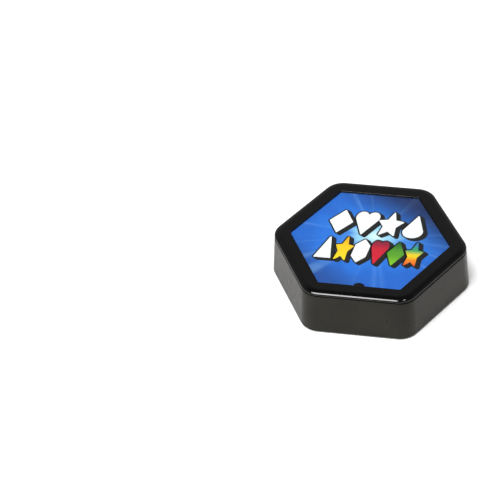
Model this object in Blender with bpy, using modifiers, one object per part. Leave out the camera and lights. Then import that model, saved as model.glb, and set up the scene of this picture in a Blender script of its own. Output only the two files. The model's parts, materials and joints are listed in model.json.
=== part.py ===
"""Hexagonal quiz buzzer: a press-down cap with a lit label, in a battery-powered housing.

Metres, +Z up. The origin is the middle of the footprint, at table height. The hexagon has two corners
on the X axis and the label reads along +X, so the front flat faces -Y.
"""

import math

import bmesh
import bpy
from mathutils import Matrix, Vector

MM = 0.001
HEX_CORNER = math.cos(math.radians(30))  # apothem of a hexagon of circumradius 1

# Fits
GAP = 0.3 * MM  # between pieces that touch or slide on each other
SHEET_GAP = 0.1 * MM  # between the flat sheets stacked in the cap

# Overall shape
FOOT_PROUD = 0.6 * MM
TOP_Z = 22.75 * MM
SEAM_Z = 20.31 * MM  # top edge of the housing wall
SEAM_GAP = 0.9 * MM  # between the wall and the cap's rim when the cap is up
WALL_BOTTOM = 41.07 * MM  # outer apothem of the wall at its foot
WALL_TOP = 39.8 * MM
WALL_THICK = 2.0 * MM
CORNER_RADIUS = 9.7 * MM
CORNER_STEPS = 6
EDGE_ROUND = 0.35 * MM

# Cap
LABEL_APOTHEM = 32.04 * MM
BEZEL = 4.3 * MM  # flat width round the label
RIM_REACH = 3.44 * MM  # how far the rounded rim runs out from the flat
RIM_STEPS = 6
BEZEL_THICK = 1.35 * MM
SKIRT_CLEAR = 0.4 * MM
SKIRT_THICK = 1.4 * MM
SKIRT_BOTTOM = 16.5 * MM
FLOOR_TOP = 20.45 * MM
FLOOR_THICK = 1.2 * MM
PAN_WALL = 1.4 * MM
PAN_RADIUS = 1.5 * MM
SHEET_RADIUS = 0.3 * MM  # corners of the recess and of the sheets in it
RECESS_CLEAR = 0.16 * MM
WINDOW_THICK = 0.6 * MM
CARD_THICK = 0.3 * MM
DIFFUSER_THICK = 1.0 * MM
HUB = 9.0 * MM  # the floor's six light openings run from here to OPENING_REACH
OPENING_REACH = 28.0 * MM
HALF_SPOKE = 2.0 * MM
KEY_WIDTH = 4.6 * MM
KEY_TIP = 1.6 * MM
KEY_DROP = 0.02 * MM
KEY_DEPTH = 1.7 * MM
TRAVEL = 0.7 * MM

# Posts, springs and bosses stand in the corners, at the radius of the label's corners
CORNER_PLACE = 37.0 * MM
GUIDE_ANGLES = (0, 120, 240)
SCREW_ANGLES = (60, 180, 300)
POST_RADIUS = 1.5 * MM
POST_BOTTOM = 8.0 * MM
GUIDE_RADIUS = 3.4 * MM
GUIDE_BOTTOM = 8.2 * MM
GUIDE_TOP = 14.3 * MM
POST_BORE_TOP = 13.4 * MM
WASHER = (2.9 * MM, 0.6 * MM)  # radius and thickness
GUIDE_SHANK = 0.75 * MM
SPRING_SEAT = 3.2 * MM
SPRING_WIRE = 0.25 * MM
SPRING_RADIUS = 2.6 * MM
SPRING_TURNS = 4
END_FLATNESS = 0.35  # how much closer a coil's end turns lie than its middle ones
SCREW_BOSS_RADIUS = 3.2 * MM
SCREW_BOSS_TOP = 12.0 * MM
BASE_SHANK = 1.1 * MM  # radius
BASE_BORE_TOP = 10.0 * MM
RIB_THICK = 2.0 * MM
RIB_REACH = 44.0 * MM

# Base
PLATE_THICK = 1.8 * MM
PLATE_TOP = FOOT_PROUD + PLATE_THICK
BOX_X = 26.4 * MM  # half length of the battery box, outside
BOX_Y = (2.6 * MM, 27.4 * MM)
BOX_TOP = 14.3 * MM
BOX_WALL = 1.2 * MM
BOX_CEILING = 0.8 * MM
DOOR_THICK = 1.6 * MM
HINGE_PIN = 0.6 * MM
PIN_REACH = 0.7 * MM  # how far each pin runs into the box's wall
DOOR_TAB = (10.0 * MM, -3.2 * MM)  # width, and the y that it reaches
DOOR_SCREW_Y = 0.9 * MM
DOOR_SHANK = 1.05 * MM
FOOT_RADIUS = 3.5 * MM
FOOT_PLACE = 35.6 * MM

# Cells
CELL_RADIUS = 5.25 * MM
CELL_LENGTH = 44.5 * MM
CELL_Y = (9.5 * MM, 20.5 * MM)
CELL_Z = 7.95 * MM
NUB_RADIUS = 1.9 * MM
NUB_LENGTH = 0.8 * MM
BATTERY_WIRE = 0.28 * MM
CELL_END = 24.2 * MM  # x of each cell's positive end
CONTACT_THICK = 0.4 * MM
TAB_HALF = 1.0 * MM  # half width of the contacts' solder tabs

# Board
BOARD_RADIUS = 32.0 * MM
BOARD_BOTTOM = 14.7 * MM
BOARD_THICK = 1.2 * MM
BOARD_TOP = BOARD_BOTTOM + BOARD_THICK
BOARD_SCREWS = ((25.0 * MM, -6.0 * MM), (-25.0 * MM, -6.0 * MM), (0.0, 28.8 * MM))
BOARD_SHANK = 0.8 * MM
STANDOFF_RADIUS = 2.4 * MM
STANDOFF_BORE_BOTTOM = 7.0 * MM
LIGHT_PLACE = 20.0 * MM
SWITCH_SIDE = 6.2 * MM
SWITCH_HEIGHT = 1.9 * MM
PLUNGER_RADIUS = 1.6 * MM
PLUNGER_TOP = 19.0 * MM

# Speaker
SPEAKER_AT = (0.0, -20.0 * MM)
SPEAKER_RADIUS = 14.0 * MM
GRILLE_HOLE = 0.9 * MM
GRILLE_RINGS = ((1, 0.0), (6, 3.6 * MM), (12, 7.2 * MM))

LEAD_RADIUS = 0.35 * MM
LEAD_ROUTE = (  # x, y, z in millimetres, from the basket up to the board
    (3.0, -11.0, 6.8),
    (3.0, -10.4, 8.0),
    (3.4, -9.2, 9.6),
    (3.6, -8.0, 11.2),
    (3.3, -7.2, 12.8),
    (3.0, -7.0, 14.05),
)

# Power switch
POWER_AT = (21.5 * MM, -16.0 * MM)
POWER_TRAVEL = 2.0 * MM
STEM = (2.0 * MM, 3.0 * MM)
STEM_TOP = 13.0 * MM
DISH = (3.0 * MM, 0.8 * MM)  # half width and depth of the finger recess under the knob

FLOOR_BOTTOM = FLOOR_TOP - FLOOR_THICK
RIM_BOTTOM = SEAM_Z + SEAM_GAP
BEZEL_EDGE = LABEL_APOTHEM + BEZEL
RIM_EDGE = BEZEL_EDGE + RIM_REACH
SKIRT_OUTER = WALL_TOP - WALL_THICK - SKIRT_CLEAR
SKIRT_INNER = SKIRT_OUTER - SKIRT_THICK
RECESS = LABEL_APOTHEM + RECESS_CLEAR
PAN_OUTER = RECESS + PAN_WALL
CONTACT_OUTER = BOX_X - BOX_WALL - GAP
CONTACT_INNER = CONTACT_OUTER - CONTACT_THICK


def clear_scene():
    for obj in list(bpy.data.objects):
        bpy.data.objects.remove(obj, do_unlink=True)


def collection(name):
    made = bpy.data.collections.new(name)
    bpy.context.scene.collection.children.link(made)
    return made


clear_scene()
PARTS = collection("quiz_buzzer")
TOOLS = collection("tools")


def material(name, color, roughness, metallic=0.0):
    made = bpy.data.materials.new(name)
    made.use_nodes = True
    shader = made.node_tree.nodes["Principled BSDF"]
    shader.inputs["Base Color"].default_value = (*color, 1.0)
    shader.inputs["Roughness"].default_value = roughness
    shader.inputs["Metallic"].default_value = metallic
    return made


SATIN_GREY = material("satin_grey", (0.045, 0.044, 0.041), 0.5)
GLOSS_BLACK = material("gloss_black", (0.012, 0.011, 0.011), 0.12)
CLEAR = material("clear_plastic", (0.9, 0.93, 0.95), 0.05)
PRINT_BLUE = material("print_blue", (0.05, 0.2, 0.65), 0.4)
MILKY = material("milky_plastic", (0.85, 0.86, 0.86), 0.4)
BOARD_GREEN = material("board_green", (0.02, 0.16, 0.07), 0.4)
DARK_PLASTIC = material("dark_plastic", (0.03, 0.03, 0.03), 0.6)
STEEL = material("steel", (0.6, 0.6, 0.6), 0.3, 1.0)
NICKEL = material("nickel", (0.72, 0.7, 0.66), 0.25, 1.0)
RUBBER = material("rubber", (0.02, 0.02, 0.02), 0.85)
CELL_WRAP = material("cell_wrap", (0.08, 0.1, 0.3), 0.35)
PAPER = material("paper_cone", (0.12, 0.11, 0.1), 0.8)
RED_LEAD = material("red_lead", (0.5, 0.02, 0.02), 0.5)
BLACK_LEAD = material("black_lead", (0.02, 0.02, 0.02), 0.5)
WHITE_PLASTIC = material("white_plastic", (0.8, 0.8, 0.78), 0.45)


def at_angle(radius, degrees):
    turn = math.radians(degrees)
    return (radius * math.cos(turn), radius * math.sin(turn))


def keep(obj, mat):
    """Puts a finished piece in the parts, with its material, and shades it smooth with sharp edges."""
    PARTS.objects.link(obj)
    obj.data.materials.append(mat)
    if obj.type == "MESH":
        obj.data.shade_smooth()
        obj.data.set_sharp_from_angle(angle=math.radians(35))
    return obj


def tool(obj):
    """Hides a cutter, or a shape that is joined to another."""
    TOOLS.objects.link(obj)
    obj.hide_render = True
    obj.display_type = "WIRE"
    return obj


def placed(name, bm, mat):
    mesh = bpy.data.meshes.new(name)
    bmesh.ops.recalc_face_normals(bm, faces=bm.faces)
    bm.to_mesh(mesh)
    bm.free()
    obj = bpy.data.objects.new(name, mesh)
    return keep(obj, mat) if mat else tool(obj)


def box(name, low, high, mat=None):
    bm = bmesh.new()
    size = Vector(high) - Vector(low)
    middle = (Vector(high) + Vector(low)) / 2
    shape = Matrix.Translation(middle) @ Matrix.Diagonal((*size, 1.0))
    bmesh.ops.create_cube(bm, size=1.0, matrix=shape)
    return placed(name, bm, mat)


def cylinder(name, at, radius, bottom, top, mat=None, sides=20):
    bm = bmesh.new()
    shape = Matrix.Translation((at[0], at[1], (bottom + top) / 2))
    bmesh.ops.create_cone(
        bm, cap_ends=True, segments=sides, radius1=radius, radius2=radius, depth=top - bottom, matrix=shape
    )
    return placed(name, bm, mat)


def rod(name, start, end, radius, mat=None, sides=20):
    """A cylinder along X."""
    bm = bmesh.new()
    middle = (Vector(start) + Vector(end)) / 2
    shape = Matrix.Translation(middle) @ Matrix.Rotation(math.radians(90), 4, "Y")
    length = (Vector(end) - Vector(start)).length
    bmesh.ops.create_cone(
        bm, cap_ends=True, segments=sides, radius1=radius, radius2=radius, depth=length, matrix=shape
    )
    return placed(name, bm, mat)


def hexagon(apothem, radius, steps=CORNER_STEPS):
    """Outline of a hexagon with round corners, counterclockwise from the corner on +X."""
    points = []
    for corner in range(6):
        centre = Vector(at_angle((apothem - radius) / HEX_CORNER, 60 * corner))
        for step in range(steps + 1):
            angle = 60 * corner - 30 + 60 * step / steps
            points.append(centre + Vector(at_angle(radius, angle)))
    return points


def loft(name, sections, mat=None):
    """A solid through round-cornered hexagons, each an (apothem, corner radius, z), from the bottom up."""
    bm = bmesh.new()
    rings = []
    for apothem, radius, z in sections:
        rings.append([bm.verts.new((p.x, p.y, z)) for p in hexagon(apothem, radius)])
    count = len(rings[0])
    for lower, upper in zip(rings, rings[1:]):
        for i in range(count):
            j = (i + 1) % count
            bm.faces.new((lower[i], lower[j], upper[j], upper[i]))
    bm.faces.new(reversed(rings[0]))
    bm.faces.new(rings[-1])
    return placed(name, bm, mat)


def prism(name, outline, bottom, top, mat=None):
    """A flat outline with thickness, made from a filled curve."""
    curve = bpy.data.curves.new(name, "CURVE")
    curve.dimensions = "2D"
    curve.fill_mode = "BOTH"
    curve.extrude = (top - bottom) / 2
    spline = curve.splines.new("POLY")
    spline.points.add(len(outline) - 1)
    for point, place in zip(spline.points, outline):
        point.co = (place[0], place[1], 0.0, 1.0)
    spline.use_cyclic_u = True
    drawn = bpy.data.objects.new(name + "_curve", curve)
    drawn.location.z = (top + bottom) / 2
    bpy.context.scene.collection.objects.link(drawn)
    bpy.context.view_layer.update()
    graph = bpy.context.evaluated_depsgraph_get()
    mesh = bpy.data.meshes.new_from_object(drawn.evaluated_get(graph))
    bm = bmesh.new()
    bm.from_mesh(mesh)
    bmesh.ops.transform(bm, matrix=drawn.matrix_world, verts=bm.verts)
    bmesh.ops.remove_doubles(bm, verts=bm.verts, dist=1e-6)
    bpy.data.objects.remove(drawn, do_unlink=True)
    bpy.data.meshes.remove(mesh)
    return placed(name, bm, mat)


def turned(name, profile, mat, at=(0.0, 0.0, 0.0), steps=24):
    """A profile of (radius, z) points, from the axis at the top down the outer side, spun round Z."""
    mesh = bpy.data.meshes.new(name)
    count = len(profile)
    mesh.from_pydata([(r, 0.0, z) for r, z in profile], [(i, i + 1) for i in range(count - 1)], [])
    obj = bpy.data.objects.new(name, mesh)
    obj.location = at
    PARTS.objects.link(obj)
    mesh.materials.append(mat)
    spin = obj.modifiers.new("spin", "SCREW")
    spin.steps = steps
    spin.render_steps = steps
    spin.use_merge_vertices = True
    spin.merge_threshold = 1e-6
    return obj


def wire(name, points, radius, mat, at=(0.0, 0.0, 0.0)):
    curve = bpy.data.curves.new(name, "CURVE")
    curve.dimensions = "3D"
    curve.bevel_depth = radius
    curve.bevel_resolution = 1
    curve.use_fill_caps = True
    spline = curve.splines.new("POLY")
    spline.points.add(len(points) - 1)
    for point, place in zip(spline.points, points):
        point.co = (*place, 1.0)
    obj = bpy.data.objects.new(name, curve)
    obj.location = at
    return keep(obj, mat)


def boolean(obj, other, operation):
    step = obj.modifiers.new(other.name, "BOOLEAN")
    step.operation = operation
    step.object = other
    step.solver = "EXACT"


def cut(obj, *cutters):
    for cutter in cutters:
        boolean(obj, cutter, "DIFFERENCE")


def fuse(obj, *pieces):
    for piece in pieces:
        boolean(obj, piece, "UNION")


def soften(obj, width):
    bevel = obj.modifiers.new("soften", "BEVEL")
    bevel.width = width
    bevel.limit_method = "ANGLE"


def set_origin(obj, point):
    """Moves a mesh object's origin to a world point and leaves its shape where it is."""
    shift = Vector(point)
    obj.data.transform(Matrix.Translation(-shift))
    obj.location = shift


def corner_radius(apothem):
    """The corners of every hexagon inside the wall share the wall's corner centres."""
    return CORNER_RADIUS - (WALL_TOP - apothem)


# Housing: the side wall, three guide bosses for the cap's posts and three screw bosses for the base


def make_housing():
    slope = (WALL_BOTTOM - WALL_TOP) / (SEAM_Z - FOOT_PROUD)
    wall = loft(
        "housing",
        [
            (WALL_BOTTOM - EDGE_ROUND, CORNER_RADIUS - EDGE_ROUND, FOOT_PROUD),
            (WALL_BOTTOM - slope * EDGE_ROUND, CORNER_RADIUS, FOOT_PROUD + EDGE_ROUND),
            (WALL_TOP + slope * EDGE_ROUND, CORNER_RADIUS, SEAM_Z - EDGE_ROUND),
            (WALL_TOP - 0.3 * EDGE_ROUND, CORNER_RADIUS, SEAM_Z - 0.3 * EDGE_ROUND),
            (WALL_TOP - EDGE_ROUND, CORNER_RADIUS - EDGE_ROUND, SEAM_Z),
        ],
        SATIN_GREY,
    )
    inner_radius = CORNER_RADIUS - WALL_THICK
    past = 1.0 * MM
    cut(
        wall,
        loft(
            "housing_hollow",
            [
                (WALL_BOTTOM - WALL_THICK + slope * past, inner_radius, FOOT_PROUD - past),
                (WALL_TOP - WALL_THICK - slope * past, inner_radius, SEAM_Z + past),
            ],
        ),
    )
    bosses = [(a, GUIDE_RADIUS, GUIDE_BOTTOM, GUIDE_TOP) for a in GUIDE_ANGLES]
    bosses += [(a, SCREW_BOSS_RADIUS, PLATE_TOP + GAP, SCREW_BOSS_TOP) for a in SCREW_ANGLES]
    for angle, radius, bottom, top in bosses:
        at = at_angle(CORNER_PLACE, angle)
        rib = box(
            f"rib_{angle}",
            (CORNER_PLACE, -RIB_THICK / 2, bottom),
            (RIB_REACH, RIB_THICK / 2, top),
        )
        rib.rotation_euler.z = math.radians(angle)
        fuse(wall, cylinder(f"boss_{angle}", at, radius, bottom, top), rib)
    for angle in GUIDE_ANGLES:
        at = at_angle(CORNER_PLACE, angle)
        cut(wall, cylinder(f"guide_bore_{angle}", at, POST_RADIUS + GAP, GUIDE_BOTTOM - MM, GUIDE_TOP + MM))
    for angle in SCREW_ANGLES:
        at = at_angle(CORNER_PLACE, angle)
        cut(wall, cylinder(f"screw_bore_{angle}", at, BASE_SHANK + GAP, PLATE_TOP - MM, BASE_BORE_TOP))


# Cap: bezel, rounded rim, skirt, and the pan that the label lies in


def key_outline(grow):
    """The locating key at the middle of the front edge, or with grow the notch that clears it."""
    wide = KEY_WIDTH / 2 + grow
    tip = KEY_TIP / 2 + grow
    outer = -LABEL_APOTHEM - MM
    inner = -LABEL_APOTHEM + KEY_DEPTH + grow
    shoulder = inner - 0.55 * KEY_DEPTH
    return [(-wide, outer), (wide, outer), (wide, shoulder), (tip, inner), (-tip, inner), (-wide, shoulder)]


def window_outline(angle):
    """One of the six light openings in the cap's floor, between two spokes."""
    turn = Matrix.Rotation(math.radians(angle), 2)
    corners = []
    for reach, side in ((HUB, -1), (HUB, 1), (OPENING_REACH, 1), (OPENING_REACH, -1)):
        across = side * (reach * math.tan(math.radians(30)) - HALF_SPOKE)
        corners.append(turn @ Vector((reach, across)))
    return corners


def rim_sections():
    """The cap's outside from the skirt's foot up: a step out under the rim, then an elliptical round."""
    lip = 0.15 * MM
    skirt_radius = corner_radius(SKIRT_OUTER)
    sections = [
        (SKIRT_OUTER, skirt_radius, SKIRT_BOTTOM),
        (SKIRT_OUTER, skirt_radius, RIM_BOTTOM),
        (RIM_EDGE - lip, CORNER_RADIUS - lip, RIM_BOTTOM),
    ]
    for step in range(RIM_STEPS + 1):
        turn = math.radians(90 * step / RIM_STEPS)
        inset = RIM_REACH * (1 - math.cos(turn))
        height = RIM_BOTTOM + lip + (TOP_Z - RIM_BOTTOM - lip) * math.sin(turn)
        sections.append((RIM_EDGE - inset, CORNER_RADIUS - inset, height))
    return sections


def hexagonal_block(name, apothem, radius, bottom, top, mat=None):
    return loft(name, [(apothem, radius, bottom), (apothem, radius, top)], mat)


def make_press_cap():
    cap = loft("press_cap", rim_sections(), GLOSS_BLACK)
    under_bezel = TOP_Z - BEZEL_THICK
    overlap = 0.4 * MM
    hollow_radius = corner_radius(SKIRT_INNER)
    cut(cap, hexagonal_block("cap_hollow", SKIRT_INNER, hollow_radius, SKIRT_BOTTOM - MM, under_bezel))
    fuse(cap, hexagonal_block("cap_pan", PAN_OUTER, PAN_RADIUS, FLOOR_BOTTOM, under_bezel + overlap))
    for angle in GUIDE_ANGLES:
        at = at_angle(CORNER_PLACE, angle)
        fuse(
            cap,
            cylinder(f"spring_seat_{angle}", at, SPRING_SEAT, FLOOR_BOTTOM, under_bezel + 0.5 * overlap),
            cylinder(f"post_{angle}", at, POST_RADIUS, POST_BOTTOM, FLOOR_BOTTOM + overlap),
        )
    cut(cap, hexagonal_block("recess", RECESS, SHEET_RADIUS, FLOOR_TOP, TOP_Z + MM))
    for side in range(6):
        outline = window_outline(30 + 60 * side)
        cut(cap, prism(f"light_opening_{side}", outline, FLOOR_BOTTOM - MM, FLOOR_TOP + MM))
    for angle in GUIDE_ANGLES:
        at = at_angle(CORNER_PLACE, angle)
        bore = GUIDE_SHANK + GAP
        cut(cap, cylinder(f"post_bore_{angle}", at, bore, POST_BOTTOM - MM, POST_BORE_TOP, sides=12))
    fuse(cap, prism("key", key_outline(0.0), FLOOR_TOP - overlap, TOP_Z - KEY_DROP))


def make_label_stack():
    """The sheets in the cap's recess, from the top down: clear window, printed card, diffuser."""
    top = TOP_Z - SHEET_GAP
    sheets = (
        ("clear_window", WINDOW_THICK, 0.06 * MM, CLEAR),
        ("label_card", CARD_THICK, 0.12 * MM, PRINT_BLUE),
        ("light_diffuser", DIFFUSER_THICK, 0.2 * MM, MILKY),
    )
    for name, thick, inset, mat in sheets:
        sheet = hexagonal_block(name, LABEL_APOTHEM - inset, SHEET_RADIUS, top - thick, top, mat)
        cut(sheet, prism(name + "_notch", key_outline(GAP), top - thick - MM, top + MM))
        top -= thick + SHEET_GAP


# Turned and bent hardware


def make_screw(name, at, under_head, head, shank, length, mat=STEEL, head_up=False):
    """A pan-head screw. Its origin is under the head, and head is (radius, height)."""
    profile = [
        (0.0, length),
        (0.6 * shank, length),
        (shank, length - 0.8 * shank),
        (shank, 0.0),
        (head[0], 0.0),
        (head[0], -0.5 * head[1]),
        (0.75 * head[0], -head[1]),
        (0.0, -head[1]),
    ]
    screw = turned(name, profile, mat, (*at, under_head), steps=16)
    if head_up:
        screw.rotation_euler.x = math.pi
    slot = 0.16 * head[0]
    sign = 1 if head_up else -1
    low, high = sorted((under_head + sign * (head[1] + MM), under_head + sign * 0.5 * head[1]))
    reach = 0.55 * head[0]
    x, y = at
    across = box(name + "_slot_x", (x - reach, y - slot, low), (x + reach, y + slot, high))
    along = box(name + "_slot_y", (x - slot, y - reach, low), (x + slot, y + reach, high))
    fuse(across, along)
    cut(screw, across)
    return screw


def coil(radius, end_radius, height, turns, per_turn):
    """Points up a helix from radius to end_radius, with its end turns lying flatter than its middle."""
    count = turns * per_turn
    points = []
    for i in range(count + 1):
        along = i / count
        angle = 2 * math.pi * turns * along
        r = radius + (end_radius - radius) * along
        rise = along - END_FLATNESS * math.sin(2 * math.pi * along) / (2 * math.pi)
        points.append((r * math.cos(angle), r * math.sin(angle), height * rise))
    return points


def make_guides():
    """A return spring, a washer and a screw at each of the cap's posts."""
    for number, angle in enumerate(GUIDE_ANGLES, 1):
        at = at_angle(CORNER_PLACE, angle)
        foot = GUIDE_TOP + GAP + SPRING_WIRE
        height = FLOOR_BOTTOM - GAP - SPRING_WIRE - foot
        points = coil(SPRING_RADIUS, SPRING_RADIUS, height, SPRING_TURNS, 12)
        wire(f"return_spring_{number}", points, SPRING_WIRE, STEEL, (*at, foot))
        top = POST_BOTTOM - SHEET_GAP
        bottom = top - WASHER[1]
        hole = GUIDE_SHANK + GAP
        washer = cylinder(f"guide_washer_{number}", at, WASHER[0], bottom, top, STEEL)
        cut(washer, cylinder(f"washer_hole_{number}", at, hole, bottom - MM, top + MM, sides=12))
        make_screw(f"guide_screw_{number}", at, bottom - SHEET_GAP, (2.0 * MM, MM), GUIDE_SHANK, 5.4 * MM)


# Base plate with its battery box, door and feet


def round_back_edges(obj, beyond):
    """Makes a flat plate's back edge half round, from the two edges along X that lie past a given y."""
    bm = bmesh.new()
    bm.from_mesh(obj.data)
    edges = []
    for edge in bm.edges:
        one, other = (v.co for v in edge.verts)
        if min(one.y, other.y) > beyond and abs(one.x - other.x) > MM:
            edges.append(edge)
    bmesh.ops.bevel(bm, geom=edges, offset=0.49 * DOOR_THICK, segments=4, profile=0.5, affect="EDGES")
    bm.to_mesh(obj.data)
    bm.free()


def hinge_line():
    return (BOX_Y[1] - BOX_WALL - GAP - DOOR_THICK / 2, FOOT_PROUD + DOOR_THICK / 2)


def make_battery_box(plate):
    """Joins the battery box to the plate and opens it from below for the cells and the door."""
    fuse(plate, box("battery_box", (-BOX_X, BOX_Y[0], FOOT_PROUD + MM), (BOX_X, BOX_Y[1], BOX_TOP)))
    inner = BOX_X - BOX_WALL
    front, back = BOX_Y[0] + BOX_WALL, BOX_Y[1] - BOX_WALL
    tab = DOOR_TAB[0] / 2 + GAP
    above_door = FOOT_PROUD + DOOR_THICK + GAP
    cut(
        plate,
        box("battery_hollow", (-inner, front, FOOT_PROUD - MM), (inner, back, BOX_TOP - BOX_CEILING)),
        box("door_tab_room", (-tab, DOOR_TAB[1] - GAP, FOOT_PROUD - MM), (tab, front + MM, above_door)),
    )
    at = (0.0, DOOR_SCREW_Y)
    fuse(plate, cylinder("door_screw_boss", at, 3.0 * MM, above_door, 8.0 * MM))
    cut(plate, cylinder("door_screw_bore", at, 1.8 * MM, above_door - MM, 7.0 * MM))
    y, z = hinge_line()
    reach = inner + PIN_REACH + GAP
    bore = HINGE_PIN + GAP
    cut(
        plate,
        rod("hinge_bore", (-reach, y, z), (reach, y, z), bore, sides=12),
        box("hinge_mouth", (-reach, y - bore, FOOT_PROUD - MM), (reach, y + bore, z)),
    )
    for number, y in enumerate(CELL_Y):
        low = (CONTACT_INNER - GAP, y - TAB_HALF - GAP, BOX_TOP - 2 * MM)
        cut(plate, box(f"contact_slot_{number}", low, (inner, y + TAB_HALF + GAP, BOX_TOP + MM)))


def make_base_plate():
    apothem = WALL_BOTTOM - WALL_THICK - 1.4 * GAP
    radius = CORNER_RADIUS - WALL_THICK - GAP
    plate = hexagonal_block("base_plate", apothem, radius, FOOT_PROUD, PLATE_TOP, SATIN_GREY)
    inside = FOOT_PROUD + MM
    seat = PLATE_TOP + 1.6 * MM
    outer = SPEAKER_RADIUS + GAP
    for number, at in enumerate(BOARD_SCREWS):
        fuse(plate, cylinder(f"standoff_{number}", at, STANDOFF_RADIUS, inside, BOARD_BOTTOM - GAP))
    ring = cylinder("speaker_ring", SPEAKER_AT, outer + 1.1 * MM, inside, seat, sides=32)
    cut(ring, cylinder("speaker_seat", SPEAKER_AT, outer, PLATE_TOP, seat + MM, sides=32))
    fuse(plate, ring)
    make_battery_box(plate)
    for number, at in enumerate(BOARD_SCREWS):
        bore = BOARD_SHANK + GAP
        cut(plate, cylinder(f"standoff_bore_{number}", at, bore, STANDOFF_BORE_BOTTOM, BOARD_TOP, sides=12))
    for count, place in GRILLE_RINGS:
        for hole in range(count):
            x, y = at_angle(place, 360 * hole / count)
            at = (SPEAKER_AT[0] + x, SPEAKER_AT[1] + y)
            name = f"grille_{count}_{hole}"
            cut(plate, cylinder(name, at, GRILLE_HOLE, FOOT_PROUD - MM, PLATE_TOP + MM, sides=10))
    for angle in GUIDE_ANGLES:
        at = at_angle(FOOT_PLACE, angle)
        cut(plate, cylinder(f"foot_pocket_{angle}", at, FOOT_RADIUS + GAP, FOOT_PROUD - MM, FOOT_PROUD + MM))
    for angle in SCREW_ANGLES:
        at = at_angle(CORNER_PLACE, angle)
        pocket = cylinder(f"head_pocket_{angle}", at, 2.5 * MM, FOOT_PROUD - MM, FOOT_PROUD + 1.1 * MM)
        bore = cylinder(f"plate_bore_{angle}", at, BASE_SHANK + GAP, FOOT_PROUD, PLATE_TOP + MM, sides=12)
        cut(plate, pocket, bore)
    x, y = POWER_AT
    low = (x - DISH[0], y - DISH[0], FOOT_PROUD - MM)
    high = (x + DISH[0], y + DISH[0] + POWER_TRAVEL, FOOT_PROUD + DISH[1])
    cut(plate, box("finger_dish", low, high), stem_slot("power_slot", FOOT_PROUD - MM, PLATE_TOP + MM))


def stem_slot(name, bottom, top):
    """Room for the power knob's stem over its whole travel."""
    x, y = POWER_AT
    wide = STEM[0] / 2 + GAP
    long = STEM[1] / 2 + GAP
    return box(name, (x - wide, y - long, bottom), (x + wide, y + long + POWER_TRAVEL, top))


def make_battery_door():
    """The door turns on two pins at its back edge, which is round about them. A screw holds its front tab."""
    top = FOOT_PROUD + DOOR_THICK
    y, z = hinge_line()
    half = BOX_X - BOX_WALL - GAP
    front = BOX_Y[0] + BOX_WALL + GAP
    door = box("battery_door", (-half, front, FOOT_PROUD), (half, BOX_Y[1] - BOX_WALL - GAP, top), SATIN_GREY)
    round_back_edges(door, y)
    tab = DOOR_TAB[0] / 2
    fuse(door, box("door_tab", (-tab, DOOR_TAB[1], FOOT_PROUD), (tab, front + MM, top)))
    pin = BOX_X - BOX_WALL + PIN_REACH
    fuse(door, rod("door_pin", (-pin, y, z), (pin, y, z), HINGE_PIN, sides=12))
    at = (0.0, DOOR_SCREW_Y)
    cut(
        door,
        cylinder("door_head_pocket", at, 2.4 * MM, FOOT_PROUD - MM, FOOT_PROUD + 1.0 * MM),
        cylinder("door_bore", at, DOOR_SHANK + GAP, FOOT_PROUD, top + MM, sides=12),
    )
    set_origin(door, (0.0, y, z))
    make_screw("battery_door_screw", at, FOOT_PROUD + 0.9 * MM, (2.0 * MM, 0.8 * MM), DOOR_SHANK, 4.6 * MM)


def make_base_hardware():
    for number, angle in enumerate(GUIDE_ANGLES, 1):
        at = at_angle(FOOT_PLACE, angle)
        top = FOOT_PROUD + MM - GAP
        foot = cylinder(f"rubber_foot_{number}", at, FOOT_RADIUS, 0.0, top, RUBBER, sides=24)
        soften(foot, 0.25 * MM)
    for number, angle in enumerate(SCREW_ANGLES, 1):
        at = at_angle(CORNER_PLACE, angle)
        head = (2.1 * MM, 0.85 * MM)
        make_screw(f"base_screw_{number}", at, FOOT_PROUD + 0.95 * MM, head, BASE_SHANK, 7.5 * MM)
    for number, at in enumerate(BOARD_SCREWS, 1):
        head = (1.8 * MM, 1.2 * MM)
        make_screw(f"board_screw_{number}", at, BOARD_TOP + GAP, head, BOARD_SHANK, 7.0 * MM, head_up=True)


# Cells and their contacts


def make_cells():
    for number, (y, way) in enumerate(zip(CELL_Y, (1, -1)), 1):
        nub = way * CELL_END
        shoulder = nub - way * NUB_LENGTH
        tail = nub - way * CELL_LENGTH
        low, high = min(shoulder, tail), max(shoulder, tail)
        cell = rod(f"battery_{number}", (low, y, CELL_Z), (high, y, CELL_Z), CELL_RADIUS, CELL_WRAP, sides=28)
        ends = sorted((nub, shoulder - way * 0.5 * MM))
        fuse(cell, rod(f"nub_{number}", (ends[0], y, CELL_Z), (ends[1], y, CELL_Z), NUB_RADIUS, sides=16))
        foot = -way * (CONTACT_INNER - GAP - BATTERY_WIRE)
        height = abs(foot - tail) - GAP - BATTERY_WIRE
        helix = coil(3.6 * MM, 2.2 * MM, height, 3, 12)
        points = [(foot + way * along, y + aside, CELL_Z + up) for up, aside, along in helix]
        wire(f"battery_spring_{number}", points, BATTERY_WIRE, NICKEL)


def make_contacts():
    low, high = CELL_Z - 4.0 * MM, CELL_Z + 4.0 * MM
    reach = 3.8 * MM
    link = (-CONTACT_OUTER, CELL_Y[0] - reach, low)
    box("battery_link", link, (-CONTACT_INNER, CELL_Y[1] + reach, high), NICKEL)
    for name, y in (("battery_contact_positive", CELL_Y[0]), ("battery_contact_negative", CELL_Y[1])):
        plate = box(name, (CONTACT_INNER, y - reach, low), (CONTACT_OUTER, y + reach, high), NICKEL)
        tab_low = (CONTACT_INNER, y - TAB_HALF, high - MM)
        tab_high = (CONTACT_OUTER, y + TAB_HALF, BOARD_TOP + 0.8 * MM)
        fuse(plate, box(name + "_tab", tab_low, tab_high))


# Board and what is soldered to it


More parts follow.
